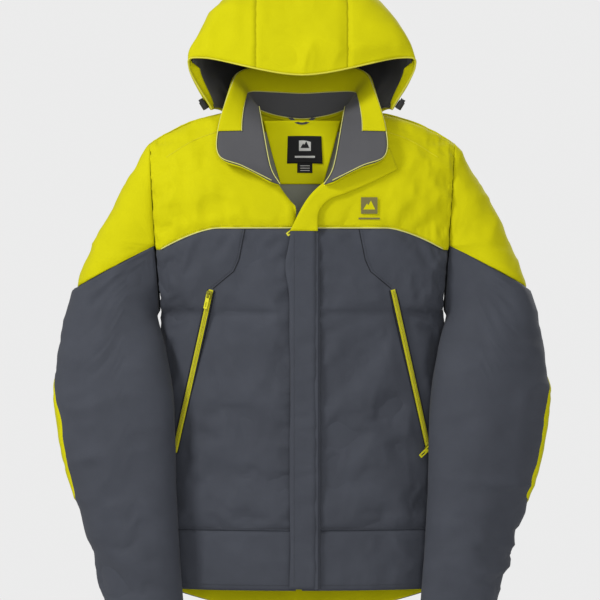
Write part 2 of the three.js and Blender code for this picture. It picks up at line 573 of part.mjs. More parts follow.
// u runs from the right lapel round the back to the left lapel, v from the foot to the top edge.
const collar = (from, to, low = 0) => (u, v) => {
  const t = lerp(from, to, u);
  return collarFoot(t).lerp(collarTop(t), lerp(low, 1, v));
};
const collarFocus = new THREE.Vector3(0, -400, 60);
const towardFace = (p) => collarFocus.clone().sub(p);
const collarLayer = (surface, columns, rows, depth, thickness) =>
  layer(surface, columns, rows, { depth, thickness, toward: towardFace });
const COLLAR_COLUMNS = 28;
add("collar_lining", collarLayer(collar(0, 1), COLLAR_COLUMNS, 3, 0, COLLAR_T), GREY);
const outerDepth = COLLAR_T + LAYER_GAP;
add("collar_shell", collarLayer(collar(0, 1), COLLAR_COLUMNS, 3, outerDepth, COLLAR_T), YELLOW);
const BAND = { low: 0.48, reach: 8, lift: 1.8, thickness: 1.2 };
const bandFrom = 0.5 - BAND.reach / COLLAR_COLUMNS;
const band = collar(bandFrom, 1 - bandFrom, BAND.low);
add("collar_band", collarLayer(band, 2 * BAND.reach, 2, -BAND.lift - BAND.thickness, BAND.thickness), YELLOW);

// ---- hanger loop, at the middle of the collar's foot ----
const LOOP_W = 48;
const LOOP_Y = 51.6;
const loopShape = new THREE.Shape();
loopShape.moveTo(-LOOP_W / 2, 3);
loopShape.quadraticCurveTo(0, -21, LOOP_W / 2, 3);
loopShape.lineTo(LOOP_W / 2 - 8, 3);
loopShape.quadraticCurveTo(0, -14, -LOOP_W / 2 + 8, 3);
const loop = new THREE.ExtrudeGeometry(loopShape, { depth: 3, bevelEnabled: false, curveSegments: 8 });
add("hanger_loop", loop.rotateX(Math.PI / 2).translate(0, LOOP_Y + 3, 0), GREY);

// ---- hood ----
// Half arches of the hood from the neck at the side over the top: foot, side, corner, top. Face edge first.
const HOOD_ARCHES = [
  [[151, -24, 12], [189, -48, 82], [162, -66, 97], [0, -92, 67]],
  [[152, -12, 13], [188, -34, 86], [144, -56, 156], [0, -84, 122]],
  [[148, 6, 15], [183, 0, 90], [134, -20, 192], [0, -48, 204]],
  [[138, 30, 14], [172, 50, 90], [122, 45, 197], [0, 35, 240]],
  [[122, 50, 7], [148, 98, 80], [108, 115, 155], [0, 125, 190]],
  [[104, 62, 5], [122, 100, 45], [86, 128, 85], [0, 146, 100]],
  [[92, 60, 7], [72, 64, 7], [44, 66, 7], [0, 67, 6]],
];
const arches = HOOD_ARCHES.map((half) =>
  spline([...half.map(([x, y, z]) => [-x, y, z]), ...half.slice(0, 3).reverse()]));
const hood = (u, v) => spline(arches.map((arch) => arch(u).toArray()))(v);
// The share u at which the hood crosses |x| = HOOD_SEAM_X.
function hoodSeam(v) {
  let [low, high] = [0, 0.5];
  for (let i = 0; i < 20; i++) {
    const middle = (low + high) / 2;
    if (hood(middle, v).x < -Math.min(HOOD_SEAM_X, 0.8 * -hood(0, v).x)) low = middle;
    else high = middle;
  }
  return low;
}
const hoodMiddle = new THREE.Vector3(0, 20, 60);
const awayFromHead = (p) => p.clone().sub(hoodMiddle);
const hoodWall = { thickness: HOOD_T, toward: awayFromHead };
const hoodEdgeGap = 0.0016;
const hoodRange = (from, to) => (u, v) => hood(lerp(from(v), to(v), u), v);
const seam = (sign) => (v) => (sign < 0 ? hoodSeam(v) - hoodEdgeGap : hoodSeam(v) + hoodEdgeGap);
const far = (side) => (v) => 1 - side(v);
const HOOD_ROWS = 12;
const SIDE_COLUMNS = 6;
const MIDDLE_COLUMNS = 8;
const middlePanel = hoodRange(seam(1), far(seam(1)));
const rightSide = hoodRange(() => 0, seam(-1));
const leftSide = hoodRange(far(seam(-1)), () => 1);
add("hood_middle", layer(middlePanel, MIDDLE_COLUMNS, HOOD_ROWS, hoodWall), YELLOW);
add("hood_right_side", layer(rightSide, SIDE_COLUMNS, HOOD_ROWS, hoodWall), YELLOW);
add("hood_left_side", layer(leftSide, SIDE_COLUMNS, HOOD_ROWS, hoodWall), YELLOW);
const hoodParts = [[rightSide, SIDE_COLUMNS], [middlePanel, MIDDLE_COLUMNS], [leftSide, SIDE_COLUMNS]];
const hoodAcross = joined(hoodParts, "u");
const HOOD_LINING = { thickness: 1.5, depth: HOOD_T + 1, toward: awayFromHead };
const hoodInside = (u, v) => hoodAcross.surface(u, lerp(1 / HOOD_ROWS, 1 - 1 / HOOD_ROWS, v));
add("hood_lining", layer(hoodInside, hoodAcross.cells, HOOD_ROWS - 2, HOOD_LINING), LINING);

// ---- cord locks at the hood's lower corners ----
const LOCK = { r: 5.5, bore: 4.3, height: 14, floor: 4, button: 4, start: 8.5, proud: 4.5 };
const latheOf = (points) => new THREE.LatheGeometry(points.map(([r, z]) => new THREE.Vector2(r, z)), 12);
for (const [name, hand] of HANDS) {
  const u = hand < 0 ? 0.02 : 0.98;
  const at = hood(u, 0.03);
  const out = normalAt(hood, u, 0.03, awayFromHead);
  at.addScaledVector(out, LOCK.r + 0.9);
  const up = new THREE.Vector3(hand * 0.5, -0.2, 0.85).normalize();
  up.addScaledVector(out, -up.dot(out)).normalize();
  const turn = new THREE.Quaternion().setFromUnitVectors(new THREE.Vector3(0, 1, 0), up);
  const place = (geometry) => geometry.translate(0, -4, 0).applyQuaternion(turn).translate(at.x, at.y, at.z);
  const { r, bore, height, floor, button, start, proud } = LOCK;
  const barrel = latheOf([[0, 0], [r, 0], [r, height], [bore, height], [bore, floor], [0, floor]]);
  add(`${name}_cord_lock`, place(barrel), BLACK);
  const top = height + proud;
  add(`${name}_lock_button`, place(latheOf([[0, start], [button, start], [button, top], [0, top]])), BLACK);
}

// ---- the flap's top and its turned-out wing, and the chest emblem ----
const WING_UPPER = spline([
  [145, 0, -52], [110, 0, -66], [56, 0, -98], [26, 0, -119], [4, 0, -145], [FLAP_LEFT_X, 0, FLAP_Z[1] + 1],
]);
const WING_LOWER = spline([
  [159, 0, -88], [110, 0, -113], [72, 0, -129], [44, 0, -140], [28, 0, -160], [FLAP_HINGE_X, 0, FLAP_Z[1] + 1],
]);
const WING_LIFT = 6; // front of the wing's tip before the yoke
const wing = (u, v) => {
  const p = WING_LOWER(u).lerp(WING_UPPER(u), v);
  return p.setY(bodyY(p.x, p.z, -1) - lerp(WING_LIFT, FLAP_GAP + FLAP_T, u ** 4));
};
add("flap_wing", layer(wing, 16, 3, { thickness: FLAP_T, toward: outwardBody }), YELLOW);
const EMBLEM_AT = [111, -149];
const emblemBack = bodyY(EMBLEM_AT[0] - EMBLEM_SIZE / 2, EMBLEM_AT[1], -1) - 0.6;
const half = EMBLEM_SIZE / 2;
add("chest_emblem", block(
  [EMBLEM_AT[0] - half, emblemBack - 1.4, EMBLEM_AT[1] - half],
  [EMBLEM_AT[0] + half, emblemBack, EMBLEM_AT[1] + half],
), BLACK);

// The origin is the hanger loop, so the jacket is moved forward by the loop's own place.
jacket.position.y = -LOOP_Y;

export default jacket;
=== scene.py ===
# Hooded ski jacket, hung by its neck loop: the visible cloth, seams, zips and trims around the CAD frame.
# Shapes are worked out in millimetres in the jacket's own axes (x to the wearer's left, -y to the front, z up
# from the hanger loop, y from the side seams) and moved into the frame in metres by place().
import bpy
import bmesh
import math
import numpy as np
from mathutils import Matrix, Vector
from mathutils.bvhtree import BVHTree


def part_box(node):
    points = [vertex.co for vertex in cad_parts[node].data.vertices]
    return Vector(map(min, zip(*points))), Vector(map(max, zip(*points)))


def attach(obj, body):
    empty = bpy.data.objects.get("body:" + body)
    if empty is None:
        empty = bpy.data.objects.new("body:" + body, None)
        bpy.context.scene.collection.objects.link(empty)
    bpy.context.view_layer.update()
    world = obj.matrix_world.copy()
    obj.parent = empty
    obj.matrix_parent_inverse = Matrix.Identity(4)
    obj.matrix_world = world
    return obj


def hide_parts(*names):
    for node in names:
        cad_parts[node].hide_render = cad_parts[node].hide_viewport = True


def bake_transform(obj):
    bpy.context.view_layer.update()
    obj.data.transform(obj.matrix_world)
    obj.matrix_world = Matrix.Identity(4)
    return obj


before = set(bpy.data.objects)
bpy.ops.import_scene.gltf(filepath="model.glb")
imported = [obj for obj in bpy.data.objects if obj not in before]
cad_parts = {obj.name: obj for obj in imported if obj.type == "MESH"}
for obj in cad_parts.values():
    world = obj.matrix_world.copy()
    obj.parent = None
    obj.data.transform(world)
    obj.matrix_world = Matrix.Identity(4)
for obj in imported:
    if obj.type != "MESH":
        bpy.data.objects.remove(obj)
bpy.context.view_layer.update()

# ---- sizes, in millimetres ----
HEM_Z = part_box("right_front_panel")[0][2] * 1000
BACK_D = 80
FRONT_D = 88
SHIFT_Y = BACK_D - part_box("back_panel")[1][1] * 1000  # how far the frame lies forward of the side seams
TAIL_DROP = 50  # how much lower the back hem hangs in the middle
HEM_BAND_H = 98
YOKE_Z = -186
YOKE_DROP = 36  # how far the yoke seam falls toward the sleeves
YOKE_STRAIGHT_X = 140  # and from where
BODY_HALF_W = 236
SHOULDER_X = 256
SHOULDER_Z = -42
SHOULDER_FALL = 2.2
ARMPIT_Z = -325
ARMHOLE_HALF_D = 48
NECK_X = 78
NECK_Z = 14  # the neck's edge at the sides, the back and the front
NECK_BACK_Z = 0
NECK_FRONT_Z = -158
ROUND_H = 150  # height over which the body rounds off below the shoulders
ZIP_X = -6
ZIP_W = 7
FLAP_LEFT_X = -20
FLAP_HINGE_X = 26
FLAP_GAP = 9.5  # from the zip to the back of the flap
FLAP_T = 4
POCKET_TOP = (BODY_HALF_W - 86, -288)  # ends of the pocket zips, x on the left and z
POCKET_BOTTOM = (BODY_HALF_W - 25, -558)
BODY_CENTRE = (0, 0, -400)
HANDS = {"right": -1, "left": 1}  # the wearer's sides and their signs of x
CELL = 5.0  # size of a cloth cell


# ---- camera, light and stage ----
def make_camera():
    """A long lens straight at the front, as wide as the photographed view."""
    view_w, middle, away = 0.99, (-0.0033, -0.305), 6.0
    data = bpy.data.cameras.new("camera")
    data.sensor_width = 36
    data.lens = 36 * away / view_w
    camera = bpy.data.objects.new("camera", data)
    front = -(FRONT_D + SHIFT_Y) / 1000
    camera.location = (middle[0], front - away, middle[1])
    camera.rotation_euler = (math.pi / 2, 0, 0)
    bpy.context.collection.objects.link(camera)
    bpy.context.scene.camera = camera


def make_light(name, place, target, size, power):
    data = bpy.data.lights.new(name, "AREA")
    data.size = size
    data.energy = power
    light = bpy.data.objects.new(name, data)
    light.location = place
    light.visible_camera = False
    light.rotation_euler = (Vector(target) - Vector(place)).to_track_quat("-Z", "Y").to_euler()
    bpy.context.collection.objects.link(light)


def make_world(seen, strength):
    """A pale studio all round, seen brighter than it lights."""
    world = bpy.data.worlds.new("studio")
    world.use_nodes = True
    tree = world.node_tree
    lit = tree.nodes["Background"]
    shown = tree.nodes.new("ShaderNodeBackground")
    lit.inputs["Color"].default_value = shown.inputs["Color"].default_value = (1, 1, 1, 1)
    lit.inputs["Strength"].default_value = strength
    shown.inputs["Strength"].default_value = seen
    mix = tree.nodes.new("ShaderNodeMixShader")
    tree.links.new(tree.nodes.new("ShaderNodeLightPath").outputs["Is Camera Ray"], mix.inputs["Fac"])
    tree.links.new(lit.outputs["Background"], mix.inputs[1])
    tree.links.new(shown.outputs["Background"], mix.inputs[2])
    tree.links.new(mix.outputs["Shader"], tree.nodes["World Output"].inputs["Surface"])
    bpy.context.scene.world = world


def make_stage():
    """A pale round floor under the hanging jacket, with soft light."""
    floor_z, radius, sides = HEM_Z / 1000 - 0.25, 2.6, 96
    turn = np.arange(sides) * 2 * math.pi / sides
    verts = [(radius * math.cos(t), radius * math.sin(t), floor_z) for t in turn]
    mesh = bpy.data.meshes.new("floor")
    mesh.from_pydata(verts, [], [tuple(range(sides))])
    floor = bpy.data.objects.new("floor", mesh)
    bpy.context.collection.objects.link(floor)
    mesh.materials.append(plain("paper", (0.66, 0.66, 0.665), 0.9))
    make_world(seen=0.835, strength=0.46)
    bpy.context.scene.view_settings.view_transform = "Standard"
    make_light("key", (-2.4, -2.1, 1.9), (0, 0, -0.3), 0.8, 84)
    make_light("front", (0.3, -4.2, 0.1), (0, 0, -0.3), 1.4, 50)
    make_light("back", (1.8, 3.2, 1.6), (0, 0, -0.3), 1.2, 70)


# ---- materials ----
def linear(rgb):
    """sRGB bytes to linear colour."""
    share = [c / 255 for c in rgb]
    return tuple(c / 12.92 if c <= 0.04045 else ((c + 0.055) / 1.055) ** 2.4 for c in share)


def shader(name, colour, roughness):
    material = bpy.data.materials.new(name)
    material.use_nodes = True
    bsdf = material.node_tree.nodes["Principled BSDF"]
    bsdf.inputs["Base Color"].default_value = (*colour, 1)
    bsdf.inputs["Roughness"].default_value = roughness
    return material, bsdf


def plain(name, colour, roughness):
    return shader(name, colour, roughness)[0]


def link(material, source, target):
    material.node_tree.links.new(source, target)


def node(material, kind, **inputs):
    made = material.node_tree.nodes.new(kind)
    for key, value in inputs.items():
        made.inputs[key.replace("_", " ")].default_value = value
    return made


def fabric(name, rgb, roughness=0.75, weave=1.1, sheen=0.1, vary=0.05, bump=0.2, gloss=0.25):
    """Woven cloth: weave is the width of a thread in millimetres, vary how cloudy the colour is."""
    material, bsdf = shader(name, linear(rgb), roughness)
    coords = material.node_tree.nodes.new("ShaderNodeTexCoord")
    cloud = node(material, "ShaderNodeTexNoise", Scale=14.0, Detail=6.0, Roughness=0.6)
    link(material, coords.outputs["Object"], cloud.inputs["Vector"])
    tint = material.node_tree.nodes.new("ShaderNodeValToRGB")
    base = np.array(linear(rgb))
    tint.color_ramp.elements[0].position = 0.3
    tint.color_ramp.elements[1].position = 0.7
    tint.color_ramp.elements[0].color = (*(base * (1 - vary)), 1)
    tint.color_ramp.elements[1].color = (*(base * (1 + vary)), 1)
    link(material, cloud.outputs["Fac"], tint.inputs["Fac"])
    waves = []
    threads = 2 * math.pi / (20 * weave / 1000)
    for axis in ("X", "Z"):
        wave = node(material, "ShaderNodeTexWave", Scale=threads, Distortion=0.6, Detail=1.0)
        wave.bands_direction = axis
        link(material, coords.outputs["Object"], wave.inputs["Vector"])
        waves.append(wave)
    weave_mix = material.node_tree.nodes.new("ShaderNodeMath")
    weave_mix.operation = "ADD"
    link(material, waves[0].outputs["Fac"], weave_mix.inputs[0])
    link(material, waves[1].outputs["Fac"], weave_mix.inputs[1])
    grain = node(material, "ShaderNodeTexNoise", Scale=420.0, Detail=3.0, Roughness=0.7)
    link(material, coords.outputs["Object"], grain.inputs["Vector"])
    rough_mix = material.node_tree.nodes.new("ShaderNodeMath")
    rough_mix.operation = "MULTIPLY_ADD"
    rough_mix.inputs[1].default_value = 0.5
    link(material, grain.outputs["Fac"], rough_mix.inputs[0])
    link(material, weave_mix.outputs["Value"], rough_mix.inputs[2])
    bumped = node(material, "ShaderNodeBump", Strength=bump, Distance=0.0004)
    link(material, rough_mix.outputs["Value"], bumped.inputs["Height"])
    link(material, bumped.outputs["Normal"], bsdf.inputs["Normal"])
    link(material, tint.outputs["Color"], bsdf.inputs["Base Color"])
    bsdf.inputs["Sheen Weight"].default_value = sheen
    bsdf.inputs["Specular IOR Level"].default_value = gloss
    bsdf.inputs["Sheen Roughness"].default_value = 0.5
    return material


def moulded(name, rgb, roughness=0.45, metallic=0.0):
    """Moulded plastic, rubber or painted metal with a faint grain."""
    material, bsdf = shader(name, linear(rgb), roughness)
    bsdf.inputs["Metallic"].default_value = metallic
    coords = material.node_tree.nodes.new("ShaderNodeTexCoord")
    grain = node(material, "ShaderNodeTexNoise", Scale=900.0, Detail=2.0)
    link(material, coords.outputs["Object"], grain.inputs["Vector"])
    bumped = node(material, "ShaderNodeBump", Strength=0.06, Distance=0.0002)
    link(material, grain.outputs["Fac"], bumped.inputs["Height"])
    link(material, bumped.outputs["Normal"], bsdf.inputs["Normal"])
    return material


YELLOW = fabric("yellow_shell", (196, 191, 0), 0.78, sheen=0.02, vary=0.04, gloss=0.12)
# A brighter copy of the yellow shell for the neck's facing: painted light that lifts the shade inside the
# collar.
YELLOW_FACING_PAINTED_LIGHT = fabric("yellow_facing_painted_light", (250, 245, 10), 0.7, sheen=0.02, vary=0.03, gloss=0.12)
GREY = fabric("grey_shell", (63, 66, 74), 0.75, sheen=0.04, vary=0.09, gloss=0.2)
LINING = fabric("grey_lining", (142, 144, 130), 0.6, weave=0.8, sheen=0.15)
# The hood lining's grey, darkened with painted shade for the hollow inside the hood.
HOOD_LINING_PAINTED_SHADE = fabric("hood_lining", (52, 52, 54), 0.7, weave=0.8, sheen=0.2)
COLLAR = fabric("collar_lining", (80, 80, 83), 0.8, weave=1.6, sheen=0.1)
# Pale yellow of the piping: partly its own colour, partly a painted highlight along the seams.
PIPING_HIGHLIGHT = fabric("piping", (206, 204, 120), 0.6, weave=0.7, sheen=0.1)
YELLOW_EDGE = fabric("yellow_edge", (206, 201, 60), 0.6, weave=0.7, sheen=0.05)
THREAD_YELLOW = fabric("yellow_thread", (196, 190, 10), 0.6, weave=0.4, bump=0.05)
THREAD_GREY = fabric("grey_thread", (58, 60, 66), 0.6, weave=0.4, bump=0.05)
TAPE = fabric("zip_tape", (62, 64, 68), 0.75, weave=0.9)
# Near black for the shade in seam grooves and pocket welts: painted shade.
SEAM_PAINTED_SHADE = fabric("seam_shadow", (30, 31, 35), 0.8, weave=0.5, sheen=0.0)
ZIP_TAPE = fabric("pocket_zip_tape", (196, 191, 20), 0.7, weave=0.7)
COIL_YELLOW = moulded("yellow_coil", (196, 190, 30), 0.4)
BLACK = moulded("black_plastic", (24, 24, 26), 0.45)
SLIDER = moulded("slider_metal", (150, 146, 40), 0.35, 0.6)
PULL = moulded("pull_rubber", (214, 209, 20), 0.55)
LABEL = fabric("label_cloth", (26, 26, 28), 0.6, weave=0.5, sheen=0.1)
MARK_WHITE = fabric("mark_white", (226, 226, 224), 0.6, weave=0.5)
MARK_DARK = moulded("mark_print", (104, 98, 40), 0.6)


# ---- mesh helpers ----
def place(points):
    """Jacket millimetres to frame metres."""
    points = np.asarray(points, float)
    return (points - np.array([0, SHIFT_Y, 0])) / 1000


def make_mesh(name, points, faces, material, body="jacket", smooth=True):
    """A piece from points in jacket millimetres, which rides on a body."""
    mesh = bpy.data.meshes.new(name)
    mesh.from_pydata(place(points).tolist(), [], [list(map(int, f)) for f in faces])
    mesh.polygons.foreach_set("use_smooth", [smooth] * len(mesh.polygons))
    mesh.materials.append(material)
    piece = bpy.data.objects.new(name, mesh)
    bpy.context.collection.objects.link(piece)
    if body:
        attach(piece, body)
    return piece


def grid_faces(nu, nv, wrap=False, start=0):
    """Quads of a grid of nu rows by nv columns of points."""
    faces = []
    for i in range(nu - 1):
        row = start + i * nv
        for j in range(nv if wrap else nv - 1):
            beside = (j + 1) % nv
            faces.append((row + j, row + nv + j, row + nv + beside, row + beside))
    return faces


def grid_normals(grid, wrap=False):
    """Unit normals of a grid of points, shape (nu, nv, 3)."""
    du = np.gradient(grid, axis=0)
    if wrap:
        dv = (np.roll(grid, -1, axis=1) - np.roll(grid, 1, axis=1)) / 2
    else:
        dv = np.gradient(grid, axis=1)
    normal = np.cross(du, dv)
    return normal / np.maximum(np.linalg.norm(normal, axis=2, keepdims=True), 1e-9)


def smooth_step(t):
    t = np.clip(t, 0, 1)
    return t * t * (3 - 2 * t)


def lattice(cells):
    """Repeatable pseudo-random numbers from -1 to 1 for whole-number cells."""
    n = cells[..., 0] * 127.1 + cells[..., 1] * 311.7 + cells[..., 2] * 74.7
    return 2 * np.modf(np.abs(np.sin(n) * 43758.5453))[0] - 1


def cloud(points, scale):
    """Smooth noise from -1 to 1; scale is the size of its lumps, one number or one for each axis."""
    q = np.asarray(points, float) / np.asarray(scale, float)
    cell = np.floor(q)
    part = smooth_step(q - cell)
    total = 0
    for corner in np.ndindex(2, 2, 2):
        offset = np.array(corner)
        weight = np.prod(np.where(offset, part, 1 - part), axis=-1)
        total = total + weight * lattice(cell + offset)
    return total


def fix_normals(piece):
    """Turns all faces out."""
    mesh = bmesh.new()
    mesh.from_mesh(piece.data)
    bmesh.ops.recalc_face_normals(mesh, faces=mesh.faces)
    mesh.to_mesh(piece.data)
    mesh.free()


def wall(name, outer, inner, material, body="jacket", wrap=False):
    """A closed wall between two grids of points; wrap closes it along its columns."""
    nu, nv = outer.shape[:2]
    half = nu * nv
    faces = grid_faces(nu, nv, wrap) + grid_faces(nu, nv, wrap, half)
    rims = [np.arange(nv), np.arange(nv) + (nu - 1) * nv]
    if wrap:
        rims = [np.append(rim, rim[0]) for rim in rims]
    else:
        rims += [np.arange(nu) * nv, np.arange(nu) * nv + nv - 1]
    for rim in rims:
        faces += [(a, b, half + b, half + a) for a, b in zip(rim, rim[1:])]
    points = np.concatenate([outer.reshape(-1, 3), inner.reshape(-1, 3)])
    piece = make_mesh(name, points, faces, material, body)
    fix_normals(piece)
    return piece


def out_normals(grid, centre, wrap=False):
    """Unit normals that point away from the centre."""
    normal = grid_normals(grid, wrap)
    return normal if np.mean(np.sum(normal * (grid - centre), axis=2)) > 0 else -normal


def edge_distance(grid, edges):
    """Distance of each grid point from the named edges: u0, u1, v0, v1 are first and last row and column."""
    step_u = np.linalg.norm(np.diff(grid, axis=0), axis=2)
    step_v = np.linalg.norm(np.diff(grid, axis=1), axis=2)
    from_u = np.concatenate([np.zeros((1, grid.shape[1])), np.cumsum(step_u, axis=0)])
    from_v = np.concatenate([np.zeros((grid.shape[0], 1)), np.cumsum(step_v, axis=1)], axis=1)
    away = np.full(grid.shape[:2], 1e9)
    measures = {"u0": from_u, "u1": from_u[-1:] - from_u, "v0": from_v, "v1": from_v[:, -1:] - from_v}
    for edge in edges:
        away = np.minimum(away, measures[edge])
    return away


ALL_EDGES = ("u0", "u1", "v0", "v1")


def folds(points, scale, seed):
    """Ridges and hollows like the folds of cloth, from -1 to 1."""
    points = points + seed
    bent = points + np.stack([14 * cloud(points + k * 50, 70) for k in range(3)], axis=-1)
    return 1 - 2 * np.abs(cloud(bent, scale)) ** 0.8


def creases(points, kind):
    """Height of the cloth's wrinkles in millimetres at points of the jacket."""
    soft = 2.2 * cloud(points, (80, 80, 120)) + 1.7 * folds(points, (60, 60, 95), 31)
    small = 0.45 * cloud(points + 77, (13, 13, 15)) + 0.5 * cloud(points + 52, (24, 24, 28))
    if kind == "sleeve":
        across = 3.4 * folds(points, (85, 85, 38), 13)
        return soft + small + across + 0.8 * cloud(points + 5, (34, 34, 13))
    if kind == "flap":
        return 1.3 * folds(points, (46, 60, 15), 3) + 0.4 * cloud(points, (60, 60, 40))
    if kind == "thin":
        return 0.35 * soft + 0.6 * small
    if kind == "hood":
        return 1.8 * soft + 1.3 * small + 2.6 * folds(points, (52, 52, 70), 7)
    if kind == "yoke":
        fine = 2.2 * folds(points, (44, 60, 34), 19) + 1.0 * folds(points, (22, 30, 16), 4)
        return 0.7 * soft + 1.2 * small + fine
    return soft + small + 1.1 * folds(points, (28, 40, 42), 61)


def quiet(*spots):
    """A weight for wrinkles that fades them beside lines (x, z) to (x, z) of a given reach."""
    def weight(grid):
        calm = np.ones(grid.shape[:2])
        flat = grid[..., [0, 2]]
        for start, end, reach in spots:
            start, run = np.array(start, float), np.array(end, float) - np.array(start, float)
            share = np.clip(np.sum((flat - start) * run, axis=2) / max(run.dot(run), 1e-9), 0, 1)
            away = np.linalg.norm(flat - start - share[..., None] * run, axis=2)
            calm = np.minimum(calm, 0.12 + 0.88 * smooth_step((away - reach) / 24))
        return calm
    return weight


def smoothed(height, passes, wrap):
    """Each height averaged with its neighbours again and again."""
    for _ in range(passes):
        padded = np.pad(height, ((1, 1), (0, 0)), mode="edge")
        padded = np.pad(padded, ((0, 0), (1, 1)), mode="wrap" if wrap else "edge")
        around = padded[:-2, 1:-1] + padded[2:, 1:-1] + padded[1:-1, :-2] + padded[1:-1, 2:]
        height = 0.5 * height + 0.125 * around
    return height


def coarse_rows(count, step, wrap=False):
    """Whole-number places along a side, about step apart; the last one is kept unless the side closes."""
    places = np.linspace(0, count if wrap else count - 1, max(4, count // step), endpoint=not wrap)
    return (places if wrap else places.round()).astype(int)


def simulate(points, held, wrap, spare, frames=20):
    """Where a grid of cloth cut a spare share too large comes to rest without gravity, held at some points."""
    mesh = bpy.data.meshes.new("settling")
    mesh.from_pydata((points.reshape(-1, 3) / 1000).tolist(), [], grid_faces(*points.shape[:2], wrap))
    cloth = bpy.data.objects.new("settling", mesh)
    bpy.context.collection.objects.link(cloth)
    cloth.vertex_groups.new(name="seams").add([int(i) for i in np.flatnonzero(held)], 1.0, "REPLACE")
    modifier = cloth.modifiers.new("cloth", "CLOTH")
    values = modifier.settings
    values.quality = 6
    values.mass = 0.2
    values.tension_stiffness = 25
    values.compression_stiffness = 25
    values.shear_stiffness = 12
    values.bending_stiffness = 0.6
    values.air_damping = 2.0
    values.vertex_group_mass = "seams"
    values.shrink_min = -spare
    values.effector_weights.gravity = 0
    modifier.point_cache.frame_start = 1
    modifier.point_cache.frame_end = frames
    for number in range(1, frames + 1):
        bpy.context.scene.frame_set(number)
    moved = np.empty(points.size)
    cloth.evaluated_get(bpy.context.evaluated_depsgraph_get()).data.vertices.foreach_get("co", moved)
    bpy.data.objects.remove(cloth)
    bpy.data.meshes.remove(mesh)
    bpy.context.scene.frame_set(1)
    return moved.reshape(points.shape) * 1000


def settle(grid, normal, edges, wrap=False, spare=0.03, limit=4.0):
    """Heights of the wrinkles that cloth settles into when it is cut a little too large for its seams.

    A coarse copy of the panel is simulated, held at its seams; of how far it moved along its normal only the
    wrinkles are kept, without the broad swelling, and no more than the limit."""
    rows, cols = coarse_rows(grid.shape[0], 2), coarse_rows(grid.shape[1], 2, wrap)
    rough = grid[np.ix_(rows, cols)]
    facing = normal[np.ix_(rows, cols)]
    start = rough + facing * (1.2 * cloud(rough, (45, 45, 60)))[..., None]
    moved = simulate(start, edge_distance(rough, edges) < 1e-6, wrap, spare)
    height = np.sum((moved - rough) * facing, axis=2)
    height -= smoothed(height, 60, wrap)
    height = limit * np.tanh(height / limit)
    if wrap:
        height, cols = np.concatenate([height, height[:, :1]], axis=1), np.append(cols, grid.shape[1])
    height = np.stack([np.interp(np.arange(grid.shape[0]), rows, line) for line in height.T], axis=1)
    return np.stack([np.interp(np.arange(grid.shape[1]), cols, line) for line in height])


def panel(name, grid, centre, material, thickness=3.0, body="jacket", wrap=False, edges=ALL_EDGES,
          kind="body", roll=1.8, width=6.0, pucker=0.5, lift=0.0, nodes=(), spare=0.0, calm=None):
    """A panel of padded cloth with wrinkles, whose edges sink into its seams.

    Roll and width shape that edge, pucker its small gathers, spare is the share of extra cloth that settles
    into folds and calm weighs the wrinkles."""
    normal = out_normals(grid, np.array(centre, float), wrap)
    away = edge_distance(grid, edges) if edges else np.full(grid.shape[:2], 1e9)
    inside = smooth_step(away / 22)
    height = creases(grid, kind) * (0.35 + 0.65 * inside)
    height += pucker * cloud(grid + 9, 6.5) * np.exp(-away / 14)
    if spare:
        height += settle(grid, normal, edges, wrap, spare)
    if calm:
        height *= calm(grid)
    height += lift - roll * np.exp(-((away / width) ** 2))
    outer = grid + normal * height[..., None]
    inner = grid - normal * thickness
    piece = wall(name, outer, inner, material, body, wrap)
    if nodes:
        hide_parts(*nodes)
    return piece


def spline(points, t):
    """Places at shares t of a smooth curve through points."""
    points = np.asarray(points, float)
    ends = np.concatenate([[2 * points[0] - points[1]], points, [2 * points[-1] - points[-2]]])
    along = np.clip(np.asarray(t, float), 0, 1) * (len(points) - 1)
    first = np.minimum(along.astype(int), len(points) - 2)
    w = (along - first).reshape(along.shape + (1,) * (points.ndim - 1))
    p0, p1, p2, p3 = (ends[first + k] for k in range(4))
    bend = (2 * p0 - 5 * p1 + 4 * p2 - p3) * w**2 + (3 * p1 - p0 - 3 * p2 + p3) * w**3
    return 0.5 * (2 * p1 + (p2 - p0) * w + bend)


def rope(name, points, radius, material, body="jacket", sides=6):
    """A thin round thread, cord or piping along points."""
    points = np.asarray(points, float)
    along = np.gradient(points, axis=0)
    along /= np.maximum(np.linalg.norm(along, axis=1, keepdims=True), 1e-9)
    aside = np.cross(along, (0.13, 0.22, 0.97))
    aside /= np.maximum(np.linalg.norm(aside, axis=1, keepdims=True), 1e-9)
    third = np.cross(along, aside)
    turn = np.arange(sides) * 2 * math.pi / sides
    rings = points[:, None] + radius * (
        np.cos(turn)[None, :, None] * aside[:, None] + np.sin(turn)[None, :, None] * third[:, None]
    )
    faces = grid_faces(len(points), sides, True)
    faces += [tuple(range(sides)), tuple(range((len(points) - 1) * sides, len(points) * sides))]
    piece = make_mesh(name, rings.reshape(-1, 3), faces, material, body)
    fix_normals(piece)
    return piece


